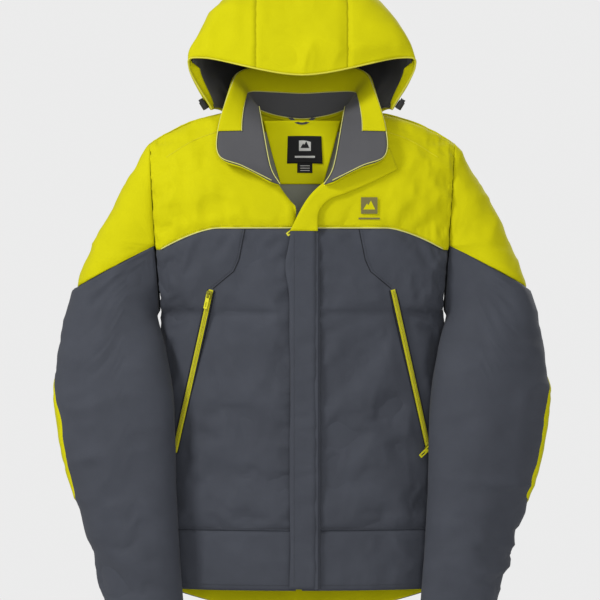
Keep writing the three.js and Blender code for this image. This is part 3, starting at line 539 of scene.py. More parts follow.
def stitches(name, points, normals, material, body="jacket", pitch=3.6, length=2.4, radius=0.36):
    """A row of single stitches that lie along points, each dipping into the cloth at its ends."""
    points = np.asarray(points, float)
    run = np.concatenate([[0], np.cumsum(np.linalg.norm(np.diff(points, axis=0), axis=1))])
    starts = np.arange(0.5 * pitch, run[-1] - length, pitch)
    verts, faces = [], []
    sides = 5
    for start in starts:
        at = start + length * np.linspace(0, 1, 5)
        line = np.stack([np.interp(at, run, points[:, k]) for k in range(3)], axis=1)
        out = np.stack([np.interp(at, run, normals[:, k]) for k in range(3)], axis=1)
        line += out * (0.45 * np.sin(np.linspace(0, math.pi, 5)) - 0.1)[:, None]
        along = np.gradient(line, axis=0)
        aside = np.cross(along, out)
        aside /= np.maximum(np.linalg.norm(aside, axis=1, keepdims=True), 1e-9)
        first = len(verts)
        for j in range(5):
            for k in range(sides):
                turn = 2 * math.pi * k / sides
                verts.append(line[j] + radius * (math.cos(turn) * aside[j] + math.sin(turn) * out[j]))
        faces += grid_faces(5, sides, True, first)
        faces += [tuple(first + k for k in range(sides)), tuple(first + 4 * sides + k for k in range(sides))]
    piece = make_mesh(name, verts, faces, material, body)
    fix_normals(piece)
    return piece


# ---- body surface, as in the frame ----
def ridge_z(x):
    ax = np.abs(x)
    fall = np.clip((ax - NECK_X) / (SHOULDER_X - NECK_X), 0, None) ** SHOULDER_FALL
    slope = NECK_Z + (SHOULDER_Z - NECK_Z) * fall
    return np.where(ax < NECK_X, NECK_Z + 50 * (1 - (ax / NECK_X) ** 2), slope)


def edge_x(z):
    share = (np.minimum(z, SHOULDER_Z) - ARMPIT_Z) / (SHOULDER_Z - ARMPIT_Z)
    return np.where(z < ARMPIT_Z, BODY_HALF_W, BODY_HALF_W + (SHOULDER_X - BODY_HALF_W) * share)


def edge_d(z):
    middle = (ARMPIT_Z + SHOULDER_Z) / 2
    q = (z - middle) / (SHOULDER_Z - middle)
    return ARMHOLE_HALF_D * np.sqrt(np.clip(1 - q * q, 0, None))


def body_y(x, z, side):
    q = np.clip(np.abs(x) / edge_x(z), 0, 1)
    up = np.clip((z - (ridge_z(x) - ROUND_H)) / ROUND_H, 0, 1)
    full = (FRONT_D if side < 0 else BACK_D) * np.sqrt(1 - up * up)
    edge = edge_d(z)
    return side * (edge + (full - edge) * np.sqrt(1 - q * q))


def yoke_seam_z(x):
    t = np.clip((np.abs(x) - YOKE_STRAIGHT_X) / (BODY_HALF_W - YOKE_STRAIGHT_X), 0, 1)
    return YOKE_Z - YOKE_DROP * t**1.5


def neck_back_z(x):
    return NECK_BACK_Z + (NECK_Z - NECK_BACK_Z) * (x / NECK_X) ** 2


def neck_front_x(z):
    q = np.clip((NECK_Z - z) / (NECK_Z - NECK_FRONT_Z), 0, 1)
    return NECK_X * (1 - q**1.8) ** 0.8


def hem_z(x, side):
    return HEM_Z - (TAIL_DROP * (1 - (x / BODY_HALF_W) ** 2) if side > 0 else 0 * x)


def band_z(x):
    """The seam of the hem band."""
    return HEM_Z + HEM_BAND_H + 0 * x


def front_in(hand):
    """The front edge of the zip's side of a front."""
    edge = hand * ZIP_X + ZIP_W / 2 + 0.35
    return lambda z: np.maximum(edge, neck_front_x(z))


def half_body(hand, side, x_in, low, high, cell=None):
    """A grid of one half of the body between two heights: rows go outward, columns go up."""
    cell = cell or CELL
    rows = int(370 / cell)
    share = np.sin(np.linspace(0, 1, rows) * np.pi / 2)[:, None]
    middle = np.array([120.0])
    columns = max(5, int(float(high(middle)[0] - low(middle)[0]) / cell))
    v = np.linspace(0, 1, columns)[None, :]
    x, z = share * BODY_HALF_W + 0 * v, 0 * share + 0 * v
    for _ in range(6):
        z = low(x) + (high(x) - low(x)) * v
        x = x_in(z) + (edge_x(z) - x_in(z)) * share
    return np.stack([hand * x, body_y(x, z, side), z], axis=2)


def whole_back(low, high):
    """A grid across the back between two heights."""
    rows = int(740 / CELL)
    share = np.sin(np.linspace(-1, 1, rows) * np.pi / 2)[:, None]
    middle = np.array([0.0])
    columns = max(5, int(float(high(middle)[0] - low(middle)[0]) / CELL))
    v = np.linspace(0, 1, columns)[None, :]
    x, z = share * BODY_HALF_W + 0 * v, 0 * share + 0 * v
    for _ in range(6):
        z = low(x) + (high(x) - low(x)) * v
        x = share * edge_x(z)
    return np.stack([x, body_y(x, z, 1), z], axis=2)


def yoke_top(x):
    return ridge_z(np.maximum(np.abs(x), NECK_X))


def back_top(x):
    return np.where(np.abs(x) < NECK_X, neck_back_z(x), yoke_top(x))


def cloth_tree(*names):
    """The surface of finished pieces of cloth, to lay things on."""
    verts, faces = [], []
    for name in names:
        mesh = bpy.data.objects[name].data
        start = len(verts)
        verts += [v.co.copy() for v in mesh.vertices]
        faces += [[start + i for i in p.vertices] for p in mesh.polygons]
    return BVHTree.FromPolygons(verts, faces)


def on_cloth(points, tree, side):
    """Points moved along y onto the outside of the cloth, front or back."""
    ys = points[:, 1].copy()
    for k, (x, _, z) in enumerate(points):
        hit = tree.ray_cast(Vector((x / 1000, side * 0.6, z / 1000)), Vector((0, -side, 0)))[0]
        if hit:
            ys[k] = hit.y * 1000 + SHIFT_Y
    padded = np.pad(ys, 2, mode="edge")
    ys = sum(padded[k:k + len(ys)] for k in range(5)) / 5
    return np.stack([points[:, 0], ys, points[:, 2]], axis=1)


def body_line(xs, zs, side, lift, tree):
    """Points on the cloth over (x, z), lifted off it, with the outward normals of the body's smooth shape."""
    xs, zs = np.asarray(xs, float), np.asarray(zs, float)
    ys = body_y(xs, zs, side)
    step = 0.5
    dx = (body_y(xs + step, zs, side) - body_y(xs - step, zs, side)) / (2 * step)
    dz = (body_y(xs, zs + step, side) - body_y(xs, zs - step, side)) / (2 * step)
    normal = np.stack([-dx, np.ones_like(dx), -dz], axis=1) * side
    normal /= np.linalg.norm(normal, axis=1, keepdims=True)
    points = on_cloth(np.stack([xs, ys, zs], axis=1), tree, side)
    return points + normal * lift, normal


# Lines (x, z) to (x, z) on each yoke, with a reach, where the lapel, emblem or wing lies on the cloth.
YOKE_CALM = {
    -1: [((-60, -150), (-130, -60), 14)],
    1: [((112, -150), (112, -150), 20), ((140, -70), (20, -160), 22)],
}


def make_body():
    """Fronts, yokes and back, each of padded cloth."""
    for name, hand in HANDS.items():
        inner = front_in(hand)
        pocket = ((hand * POCKET_TOP[0], POCKET_TOP[1]), (hand * POCKET_BOTTOM[0], POCKET_BOTTOM[1]), 9)
        band = half_body(hand, -1, inner, lambda x: hem_z(x, -1), band_z)
        panel(f"{name}_hem_band", band, BODY_CENTRE, GREY, edges=("u0", "v0", "v1"))
        front = half_body(hand, -1, inner, band_z, yoke_seam_z)
        panel(f"{name}_front", front, BODY_CENTRE, GREY, nodes=(f"{name}_front_panel",), spare=0.03,
              calm=quiet(pocket))
        yoke = half_body(hand, -1, inner, yoke_seam_z, yoke_top)
        panel(f"{name}_yoke", yoke, BODY_CENTRE, YELLOW, nodes=(f"{name}_front_yoke",), spare=0.025,
              kind="yoke", calm=quiet(*YOKE_CALM[hand]))
    hem = whole_back(lambda x: hem_z(x, 1), band_z)
    panel("back_hem_band", hem, BODY_CENTRE, GREY, edges=("v0", "v1"))
    back = whole_back(band_z, yoke_seam_z)
    panel("back_body", back, BODY_CENTRE, GREY, nodes=("back_panel",), edges=("v0", "v1"))
    yoke = whole_back(yoke_seam_z, back_top)
    panel("back_yoke_cloth", yoke, BODY_CENTRE, YELLOW, nodes=("back_yoke",), kind="yoke")


# ---- sleeves ----
SLEEVE_OUTER = [
    (SHOULDER_X + 0.35, 0, SHOULDER_Z), (321, -4, -157), (375, -12, -276), (401, -22, -388), (405, -34, -470),
    (385, -46, -586), (355, -56, -690), (327, -66, -800), (316, -70, -866),
]
SLEEVE_INNER = [
    (BODY_HALF_W + 0.35, 0, ARMPIT_Z), (241, -7, -330), (240, -18, -338), (227, -50, -385), (213, -70, -470),
    (209, -76, -590), (204, -78, -700), (196, -80, -800), (191, -82, -866),
]
SLEEVE_DEPTH = [(d,) for d in (ARMHOLE_HALF_D, 52, 58, 62, 60, 56, 50, 46, 44)]
SLEEVE_SPLIT = 0.3
AROUND = int(300 / CELL) // 2 * 2  # points round a sleeve
CUFF_SPLIT = 0.945
CAP_SEAM = [(150, YOKE_Z + 18), (BODY_HALF_W + 8, -214), (369, -277), (450, -325)]


def sleeve(hand, s, angle):
    """The sleeve's surface: angle is 90 degrees at the outer edge, 0 at the back and 180 at the front."""
    s, angle = np.broadcast_arrays(np.asarray(s, float), np.asarray(angle, float))
    outer, inner = spline(SLEEVE_OUTER, s), spline(SLEEVE_INNER, s)
    point = inner + (outer - inner) * ((1 + np.sin(angle)) / 2)[..., None]
    point[..., 1] += spline(SLEEVE_DEPTH, s)[..., 0] * np.cos(angle)
    point[..., 0] *= hand
    return point


def cap_share(angle):
    """The share of the sleeve at which the yellow cap ends, for one angle."""
    s = np.linspace(0, SLEEVE_SPLIT, 200)
    points = sleeve(1, s, angle)
    above = points[:, 2] - np.interp(points[:, 0], *zip(*CAP_SEAM))
    return s[np.argmax(above < 0)] if np.any(above < 0) else SLEEVE_SPLIT


def sleeve_centre(grid):
    """The middle of each ring of a sleeve grid, so that normals point out."""
    return grid.mean(axis=1, keepdims=True)


def make_sleeves():
    """Sleeves, their yellow caps and their cuffs."""
    angles = np.arange(AROUND) * 2 * math.pi / AROUND
    ends = np.array([cap_share(a) for a in angles])
    beside_body = 0.15 + 0.85 * smooth_step((np.sin(angles)[None, :] + 1) / 1.1)
    edge = math.asin(min(1.0, max(-1.0, 2 * (CAP_SEAM[1][1] - ARMPIT_Z) / (SHOULDER_Z - ARMPIT_Z) - 1)))
    cap_angles = np.linspace(edge, math.pi - edge, AROUND * 2 // 3)
    cap_ends = np.array([cap_share(a) for a in cap_angles])
    for name, hand in HANDS.items():
        rows = np.linspace(0, 1, int(800 / CELL))[:, None]
        s = ends[None, :] + (CUFF_SPLIT - ends[None, :]) * rows
        grid = sleeve(hand, s, angles[None, :] + 0 * s)
        centre = sleeve_centre(grid)
        arm = panel(f"{name}_sleeve_cloth", grid, centre[grid.shape[0] // 2, 0], GREY, body=None, wrap=True,
                    edges=("u0", "u1"), kind="sleeve", spare=0.04, calm=lambda points: beside_body,
                    nodes=(f"{name}_sleeve_upper", f"{name}_sleeve_lower"))
        bend_sleeve(arm)
        s = cap_ends[None, :] * np.linspace(0, 1, int(230 / CELL))[:, None]
        grid = sleeve(hand, s, cap_angles[None, :] + 0 * s)
        panel(f"{name}_cap_cloth", grid, (hand * 200, 0, -300), YELLOW, kind="yoke",
              nodes=(f"{name}_sleeve_cap",))
        s = np.linspace(CUFF_SPLIT, 1, max(4, int(60 / CELL)))[:, None]
        grid = sleeve(hand, s, angles[None, :] + 0 * s)
        panel(f"{name}_cuff_cloth", grid, sleeve_centre(grid)[1, 0], GREY, body=f"{name}_sleeve", wrap=True,
              edges=("u0", "u1"), kind="thin", nodes=(f"{name}_cuff",))


def bend_sleeve(piece):
    """Bakes the piece's placement into its points."""
    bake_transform(piece)


def sleeve_surface(name):
    """The outside of the finished sleeve as a grid: rows go down from the cap, columns go round."""
    mesh = bpy.data.objects[f"{name}_sleeve_cloth"].data
    points = np.empty(len(mesh.vertices) * 3)
    mesh.vertices.foreach_get("co", points)
    points = points.reshape(-1, 3)[: len(mesh.vertices) // 2] * 1000 + np.array([0, SHIFT_Y, 0])
    return points.reshape(-1, AROUND, 3)


def on_sleeve(cloth, s, angle, starts):
    """Points of the finished sleeve's surface at shares s and angles; starts is where each column begins."""
    column = angle / (2 * math.pi) * AROUND
    left = column.astype(int)
    first = np.interp(column, np.arange(AROUND), starts)
    row = (s - first) / (CUFF_SPLIT - first) * (cloth.shape[0] - 1)
    upper = row.astype(int)
    r, c = (row - upper)[..., None], (column - left)[..., None]
    points = (cloth[upper, left] * (1 - r) + cloth[upper + 1, left] * r) * (1 - c)
    return points + (cloth[upper, left + 1] * (1 - r) + cloth[upper + 1, left + 1] * r) * c


def make_elbows():
    """Yellow panels let into the outer back edge of the lower sleeves, laid on the sleeve's cloth."""
    top, bottom = 0.385, 0.69
    rows = np.linspace(0, 1, int(260 / CELL))[:, None]
    cols = np.linspace(0, 1, 16)[None, :]
    taper = smooth_step(rows / 0.5) * (0.25 + 0.75 * smooth_step((1 - rows) / 0.05))
    front_edge = math.radians(80) + math.radians(30) * taper
    back_edge = math.radians(76) - math.radians(42) * smooth_step(rows / 0.35)
    angle = back_edge + (front_edge - back_edge) * cols
    s = top + (bottom - top) * rows + 0 * cols
    starts = np.array([cap_share(a) for a in np.arange(AROUND) * 2 * math.pi / AROUND])
    for name, hand in HANDS.items():
        grid = on_sleeve(sleeve_surface(name), s, angle, starts)
        normal = out_normals(grid, np.array([hand * 300, -50, -480.0]))
        lift = 2.0 - 1.4 * np.exp(-((edge_distance(grid, ALL_EDGES) / 3.0) ** 2))
        outer = grid + normal * lift[..., None]
        patch = wall(f"{name}_elbow_cloth", outer, grid - normal * 0.8, YELLOW, None)
        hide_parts(f"{name}_elbow_panel")
        bend_sleeve(patch)


def make_cuff_tabs():
    """Hook tabs that close the cuffs."""
    for name, hand in HANDS.items():
        rows = np.linspace(0.955, 0.99, 10)[:, None]
        angle = 2 * math.pi * np.linspace(6, 10, 24)[None, :] / 16
        grid = sleeve(hand, rows + 0 * angle, angle + 0 * rows)
        panel(f"{name}_tab_cloth", grid, (hand * 255, -75, -850), GREY, thickness=0.2, lift=2.2, roll=1.2,
              width=3.0, body=f"{name}_tab", kind="thin", nodes=(f"{name}_cuff_tab",), pucker=0.1)


# ---- hood: half arches from the neck at the side over the top, face edge first ----
HOOD_ARCHES = [
    [(151, -24, 12), (189, -48, 82), (162, -66, 97), (0, -92, 67)],
    [(152, -12, 13), (188, -34, 86), (144, -56, 156), (0, -84, 122)],
    [(148, 6, 15), (183, 0, 90), (134, -20, 192), (0, -48, 204)],
    [(138, 30, 14), (172, 50, 90), (122, 45, 197), (0, 35, 240)],
    [(122, 50, 7), (148, 98, 80), (108, 115, 155), (0, 125, 190)],
    [(104, 62, 5), (122, 100, 45), (86, 128, 85), (0, 146, 100)],
    [(92, 60, 7), (72, 64, 7), (44, 66, 7), (0, 67, 6)],
]
HOOD_SEAM_X = 77
HOOD_T = 4
HOOD_CENTRE = (0, 20, 60)
ARCHES = [[(-x, y, z) for x, y, z in half] + half[2::-1] for half in HOOD_ARCHES]


def hood_row(us, v):
    """Points of the hood at shares us round from the right to the left, at share v from the face edge."""
    return spline(np.stack([spline(arch, us) for arch in ARCHES]), np.array([v]))[0]


def hood_seam(v):
    """The share round the hood at which its middle panel starts."""
    us = np.linspace(0, 0.5, 300)
    x = hood_row(us, v)[:, 0]
    limit = -min(HOOD_SEAM_X, 0.8 * -x[0])
    return float(us[np.argmax(x > limit)])


def hood_grid(start, end, cols, v0=0.0, v1=1.0, rows=None):
    """A grid of the hood between two edges given as functions of v."""
    rows = rows or int(420 / CELL)
    lines = []
    for v in np.linspace(v0, v1, rows):
        lines.append(hood_row(np.linspace(start(v), end(v), cols), v))
    return np.stack(lines, axis=1)


def bend_hood(piece):
    """Bakes the piece's placement into its points."""
    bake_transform(piece)


def make_hood():
    """The three panels of the hood, its lining, whose dark grey is partly painted shade of the hood's hollow,
    and its edge.
    """
    shares = np.linspace(0, 1, int(420 / CELL))
    seams = np.array([hood_seam(v) for v in shares])

    def seam(v):
        return float(np.interp(v, shares, seams))

    parts = {
        "hood_right_cloth": (lambda v: 0.0, seam, "hood_right_side"),
        "hood_middle_cloth": (seam, lambda v: 1 - seam(v), "hood_middle"),
        "hood_left_cloth": (lambda v: 1 - seam(v), lambda v: 1.0, "hood_left_side"),
    }
    for name, (start, end, cad) in parts.items():
        cloth = panel(name, hood_grid(start, end, 44), HOOD_CENTRE, YELLOW, thickness=HOOD_T, body=None,
                      nodes=(cad,), roll=1.0, width=4.0, edges=("u0", "u1", "v0"), kind="hood")
        bend_hood(cloth)
    grid = hood_grid(lambda v: 0.0, lambda v: 1.0, 120, 1 / 12, 11 / 12)
    normal = out_normals(grid, np.array(HOOD_CENTRE))
    grid = grid - normal * (HOOD_T + 1.0)
    wavy = grid + normal * (0.8 * cloud(grid, (26, 26, 40)))[..., None] - normal * 1.2
    # The lining's dark grey is partly painted shade of the hood's hollow.
    inside = wall("hood_lining_cloth", wavy, wavy - normal * 1.2, HOOD_LINING_PAINTED_SHADE, None)
    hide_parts("hood_lining")
    bend_hood(inside)
    make_hood_rim()


def make_hood_rim():
    """The bound face edge of the hood, and its facing that turns in at the sides."""
    us = np.linspace(0, 1, 160)
    edge = hood_row(us, 0.0)
    second = hood_row(us, 0.03)
    back = second - edge
    back /= np.linalg.norm(back, axis=1, keepdims=True)
    middle = np.array([0.0, 0.0, 40.0])
    inward = middle - edge
    inward -= back * np.sum(inward * back, axis=1, keepdims=True)
    inward /= np.linalg.norm(inward, axis=1, keepdims=True)
    binding = rope("hood_binding", edge + inward * 1.5 - back * 0.4, 1.5, YELLOW_EDGE, None, 8)
    bend_hood(binding)
    for name, hand in HANDS.items():
        part = us < 0.2 if hand < 0 else us > 0.8
        line, turn, deep = edge[part], inward[part], back[part]
        share = np.linspace(0, 1, len(line))
        share = share if hand < 0 else 1 - share
        swell = 6 + 15 * np.sin(np.pi * np.clip(share * 0.62, 0, 1)) ** 0.8
        width = swell * (1 - smooth_step((share - 0.86) / 0.14) * 0.7)
        cols = np.linspace(0, 1, 8)
        sheet = line[:, None] + turn[:, None] * (width[:, None] * cols)[..., None] * 0.95
        sheet += deep[:, None] * (1.0 + 7 * cols[None, :, None] ** 1.3)
        facing = wall(f"{name}_hood_facing", sheet, sheet + deep[:, None] * 1.4, YELLOW, None)
        bend_hood(facing)


# ---- collar: foot and top edge from the middle of the back to the tip of the lapel, on the +X side ----
def on_neck(share, y, above):
    x = share * NECK_X
    return (x, y, float(neck_back_z(x)) + above)


COLLAR_FOOT = [
    on_neck(0, 58, 1.4), on_neck(0.513, 52, 2.46), on_neck(0.897, 24, 2.9), (71, -14, 17),
    (65, -65, -17), (55, -91, -72), (48, -97, -95), (36, -100, -114),
]
COLLAR_TOP = [
    (0, 54, 91), (62, 44, 90), (104, 8, 78), (119, -34, 48),
    (138, -70, -18), (137, -94, -66), (98, -105, -84), (50, -106, -108),
]
COLLAR_FOCUS = (0, -400, 60)


def mirrored(points):
    return [(-x, y, z) for x, y, z in points[:0:-1]] + list(points)


def collar(u, v):
    """The face of the collar: u runs from the right lapel round the back to the left, v from foot to top."""
    foot, top = spline(mirrored(COLLAR_FOOT), u), spline(mirrored(COLLAR_TOP), u)
    return foot + (top - foot) * np.asarray(v)[..., None]


def collar_piece(name, u_span, v_span, depth, thickness, material, nodes):
    """A layer of the collar between two shares of each direction, depth behind its face."""
    u = np.linspace(*u_span, 150)[:, None]
    v = np.linspace(*v_span, 18)[None, :]
    grid = collar(u + 0 * v, v + 0 * u)
    normal = grid_normals(grid)
    focus = np.array(COLLAR_FOCUS, float)
    if np.mean(np.sum(normal * (focus - grid), axis=2)) < 0:
        normal = -normal
    away = edge_distance(grid, ALL_EDGES)
    rolled = 0.6 * np.exp(-((away / 3.5) ** 2))
    height = 0.5 * creases(grid, "thin") * smooth_step(away / 15) - rolled - depth
    piece = wall(name, grid + normal * height[..., None], grid - normal * (depth + thickness), material)
    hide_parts(*nodes)
    return piece


def make_collar():
    """The layers of the collar and lapels, with piping along their edges, whose pale colour is partly painted
    highlight.
    """
    lining = collar_piece("collar_face", (0, 1), (0, 1), 0.0, 2.5, COLLAR, ("collar_lining",))
    outside = collar_piece("collar_outside", (0, 1), (0, 1), 3.0, 2.5, YELLOW, ("collar_shell",))
    reach = 8.3 / 28  # of the collar's length, on either side of its middle
    span = (0.5 - reach, 0.5 + reach)
    band = collar_piece("collar_band_cloth", span, (0.48, 1.0), -2.6, 1.6, YELLOW, ("collar_band",))
    u = np.linspace(*span, 160)
    rope("collar_band_edge", collar(u, 0.475 + 0 * u) + np.array([0, -2.2, 0]), 0.7, PIPING_HIGHLIGHT)
    u = np.linspace(0.0, 1.0, 220)
    for name, v in (("collar_foot_piping", 0.0), ("collar_top_piping", 1.0)):
        rope(name, collar(u, v + 0 * u) + np.array([0, -0.6, 0]), 0.8, PIPING_HIGHLIGHT)


# ---- inside of the neck ----
def inner_patch(x0, z0, z1, w0, w1, depth, cols=40, rows=30):
    """A grid on the inside of the back between two heights, whose half width goes from w0 to w1."""
    u, v = np.linspace(-1, 1, cols)[:, None], np.linspace(0, 1, rows)[None, :]
    z = z0 + (z1 - z0) * v + 0 * u
    x = x0 + u * (w0 + (w1 - w0) * v)
    grid = np.stack([x, body_y(x, z, 1), z], axis=2)
    normal = out_normals(grid, np.array(BODY_CENTRE, float))
    return grid - normal * depth, normal


PEAK = [(-9, -6), (-3.4, 3.2), (-1.4, 0.4), (2.6, 7.4), (9, -6)]  # an outline of two mountain tops


def rectangle(half_w, half_h):
    return [(-half_w, -half_h), (half_w, -half_h), (half_w, half_h), (-half_w, half_h)]


def flat_shape(name, outline, centre, material, scale=1.0, thickness=0.5):
    """A thin flat shape that faces the front."""
    n = len(outline)
    cx, cy, cz = centre
    points = [(cx + scale * x, cy + t, cz + scale * z) for t in (0, thickness) for x, z in outline]
    faces = [tuple(range(n)), tuple(range(n, 2 * n))]
    faces += [(i, (i + 1) % n, n + (i + 1) % n, n + i) for i in range(n)]
    piece = make_mesh(name, points, faces, material, smooth=False)
    fix_normals(piece)
    return piece


def close_neck():
    """The turned seam between the foot of the collar and the top of the back yoke."""
    u = np.linspace(0.5 - 2.6 / 14, 0.5 + 2.6 / 14, 80)
    foot = spline(mirrored(COLLAR_FOOT), u)
    x = foot[:, 0]
    top = np.stack([x, body_y(x, neck_back_z(x), 1), neck_back_z(x)], axis=1)
    low = foot - np.array([0, 5, 5])
    for name, end in (("neck_seam_cloth", top), ("neck_seam_turn", low)):
        grid = foot[:, None] + (end - foot)[:, None] * np.linspace(0, 1, 6)[None, :, None]
        wall(name, grid + np.array([0, 0, 0.6]), grid - np.array([0, 0, 0.6]), YELLOW)


def make_neck_inside():
    """The neck's yellow facing, painted brighter than the shell as light against the shade inside the collar,
    with the sewn-in label and its small tab.
    """
    bottom, top = -109.0, NECK_BACK_Z + 3
    grid, normal = inner_patch(0, bottom, top, 36, NECK_X - 6, 12.5)
    close_neck()
    grid = grid + normal * (0.5 * cloud(grid, 22))[..., None]
    # The facing's brighter yellow is painted light against the shade inside the collar.
    facing = wall("neck_facing_cloth", grid, grid - normal * 1.6, YELLOW_FACING_PAINTED_LIGHT)
    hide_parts("neck_facing")
    label_top, label_w, label_h = NECK_BACK_Z - 24, 31.0, 49.0
    for name, z0, z1, half_w in (("label_cloth", label_top - label_h, label_top, label_w),
                                 ("label_tab", label_top - label_h - 17, label_top - label_h + 1, 13.0)):
        grid, normal = inner_patch(5, z0, z1, half_w, half_w, 16.0, 24, 20)
        sheet = wall(name, grid, grid - normal * 0.8, LABEL)
        if name == "label_cloth":
            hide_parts("neck_label")
    front = body_y(np.array([5.0]), np.array([label_top - 20]), 1)[0] - 18.6
    flat_shape("label_square", rectangle(10, 10), (5, front, label_top - 19), MARK_WHITE)
    flat_shape("label_peak", PEAK, (5, front - 0.6, label_top - 19), LABEL, 0.85)
    flat_shape("label_bar", rectangle(17, 1.6), (5, front - 0.4, label_top - 39), MARK_WHITE)
    for k in range(3):
        centre = (5, front + 4.2 - k * 0.6, label_top - label_h - 5 - 4 * k)
        flat_shape(f"label_line_{k}", rectangle(8, 0.5), centre, MARK_WHITE)


def make_emblem():
    """The chest emblem: a printed square with two mountain tops, over a short bar."""
    low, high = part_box("chest_emblem")
    centre = ((low[0] + high[0]) * 500, low[1] * 1000 + SHIFT_Y + 0.4, (low[2] + high[2]) * 500)
    half = (high[0] - low[0]) * 500
    base = flat_shape("emblem_square", rectangle(half, half), centre, MARK_DARK, thickness=1.2)
    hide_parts("chest_emblem")
    flat_shape("emblem_peak", PEAK, (centre[0], centre[1] - 0.5, centre[2]), YELLOW, 1.1)
    y = float(body_y(np.array([centre[0]]), np.array([centre[2] - half - 8]), -1)[0]) - 1.6
    flat_shape("emblem_bar", rectangle(half * 1.3, 1.4), (centre[0], y, centre[2] - half - 8), MARK_DARK)


# ---- linings ----
def hang_lining(name, grid, depth, wave, lumps, material, node_name):
    """A sheet inside the body, depth in from its surface, with soft waves of a height and a size of lumps."""
    normal = out_normals(grid, np.array(BODY_CENTRE, float))
    grid = grid - normal * (depth + wave * cloud(grid, lumps))[..., None]
    sheet = wall(name, grid, grid - normal * 1.5, material)
    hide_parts(node_name)


def make_linings():
    """The linings of the fronts and back, and the yellow facing of the longer back hem."""
    for name, hand in HANDS.items():
        inner = front_in(hand)
        grid = half_body(hand, -1, lambda z: inner(z) + 4, lambda x: HEM_Z + 8 + 0 * x,
                         lambda x: NECK_FRONT_Z - 8 + 0 * x, 12)
        grid = grid[: int(len(grid) * 0.62)]
        hang_lining(f"{name}_lining_cloth", grid, 15, 0.7, 40, LINING, f"{name}_front_lining")
    grid = whole_back(lambda x: HEM_Z + 45 + 0 * x, lambda x: np.minimum(back_top(x) - 20, -18.0))
    hang_lining("back_lining_cloth", grid, 8.0, 0.9, 45, LINING, "back_lining")
    grid = whole_back(lambda x: hem_z(x, 1) + 1, lambda x: HEM_Z + 46 + 0 * x)
    hang_lining("back_hem_facing_cloth", grid, 7.4, 0.8, (30, 30, 14), YELLOW, "back_hem_facing")


# ---- storm flap and its turned-out top ----
def make_flap():
    """The flap over the zip, sewn at its left edge and stitched along both, which opens as one piece."""
    bottom, top = HEM_Z + 3, YOKE_Z - 4
    rows = int((top - bottom) / CELL)
    z = np.linspace(bottom, top, rows)[None, :]
    across = np.linspace(0, 1, 16)[:, None]
    near_top = np.exp(-((top - z) / 70) ** 2)
    drift = cloud(np.stack([0 * z, 0 * z, z], axis=2), 60)
    free = FLAP_LEFT_X - 7.0 * np.exp(-(((z + 250) / 32) ** 2)) + 1.2 * drift
    hinge, bend_w, rise = FLAP_HINGE_X + 5, 13, FLAP_GAP + FLAP_T - 2.0
    x = free + (hinge - free) * across
    lift = 1.2 + rise * smooth_step((hinge - x) / bend_w) * (0.86 + 0.14 * near_top)
    grid = np.stack([x, -FRONT_D - lift, z + 0 * x], axis=2)
    panel("storm_flap_cloth", grid, BODY_CENTRE, GREY, thickness=2.4, body="flap", kind="flap", roll=1.2,
          width=3.0, nodes=("storm_flap",), edges=("u0", "v0", "v1"), pucker=0.3)
    tree = cloth_tree("storm_flap_cloth")
    zs = np.linspace(bottom + 8, top - 6, 300)
    for number, x_line in enumerate((FLAP_HINGE_X - 3, FLAP_LEFT_X + 7)):
        depth = 1.2 + rise * smooth_step((hinge - x_line) / bend_w) * 0.86
        line = np.stack([x_line + 0 * zs, -FRONT_D - depth + 0 * zs, zs], axis=1)
        line = on_cloth(line, tree, -1)
        out = np.tile([0.0, -1.0, 0.0], (len(zs), 1))
        stitches(f"flap_stitches_{number}", line, out, THREAD_GREY, "flap")


# The wing's upper and lower edges, from its tip to the flap.
WING_UPPER = [
    (145, 0, -52), (110, 0, -66), (56, 0, -98), (26, 0, -119), (4, 0, -145), (FLAP_LEFT_X, 0, YOKE_Z - 5),
]
WING_LOWER = [
    (159, 0, -88), (110, 0, -113), (72, 0, -129), (44, 0, -140), (28, 0, -160), (FLAP_HINGE_X, 0, YOKE_Z - 5),
]


def make_wing():
    """The yellow top of the flap, folded out over the left yoke."""
    u, v = np.linspace(0, 1, 60)[:, None], np.linspace(0, 1, 18)[None, :]
    lower, upper = spline(WING_LOWER, u[:, 0])[:, None], spline(WING_UPPER, u[:, 0])[:, None]
    grid = lower + (upper - lower) * v[..., None]
    lift = 6 + (FLAP_GAP + FLAP_T - 6) * u**4 + 0 * v
    grid[..., 1] = body_y(grid[..., 0], grid[..., 2], -1) - lift
    panel("flap_wing_cloth", grid, BODY_CENTRE, YELLOW, thickness=FLAP_T - 1.0, nodes=("flap_wing",),
          roll=1.0, width=3.0, kind="thin")


# ---- zips ----
def pocket_axes(hand):
    """The middle of a pocket zip, its directions along, across and out of the cloth, and its length."""
    top, bottom = (np.array([hand * x, 0, z], float) for x, z in (POCKET_TOP, POCKET_BOTTOM))
    for p in (top, bottom):
        p[1] = float(body_y(p[0:1], p[2:3], -1)[0])
    along = (top - bottom) / np.linalg.norm(top - bottom)
    middle = (top + bottom) / 2
    slope = np.array([middle[0] / BODY_HALF_W**2, middle[1] / FRONT_D**2, 0])
    out = slope - along * slope.dot(along)
    out /= np.linalg.norm(out)
    return middle, along, np.cross(along, out), out, np.linalg.norm(top - bottom)


def zip_strip(name, axes, sides, heights, material, crown=0.0):
    """A strip along a zip between two sides and two heights, with a crown along its middle."""
    middle, along, across, out, length = axes
    t = np.linspace(-length / 2, length / 2, 60)[:, None, None]
    w = np.linspace(*sides, 6)[None, :, None]
    bump = crown * np.sin(np.pi * (w - sides[0]) / (sides[1] - sides[0]))
    flat = middle + along * t + across * w
    return wall(name, flat + out * (heights[1] + bump), flat + out * heights[0], material)


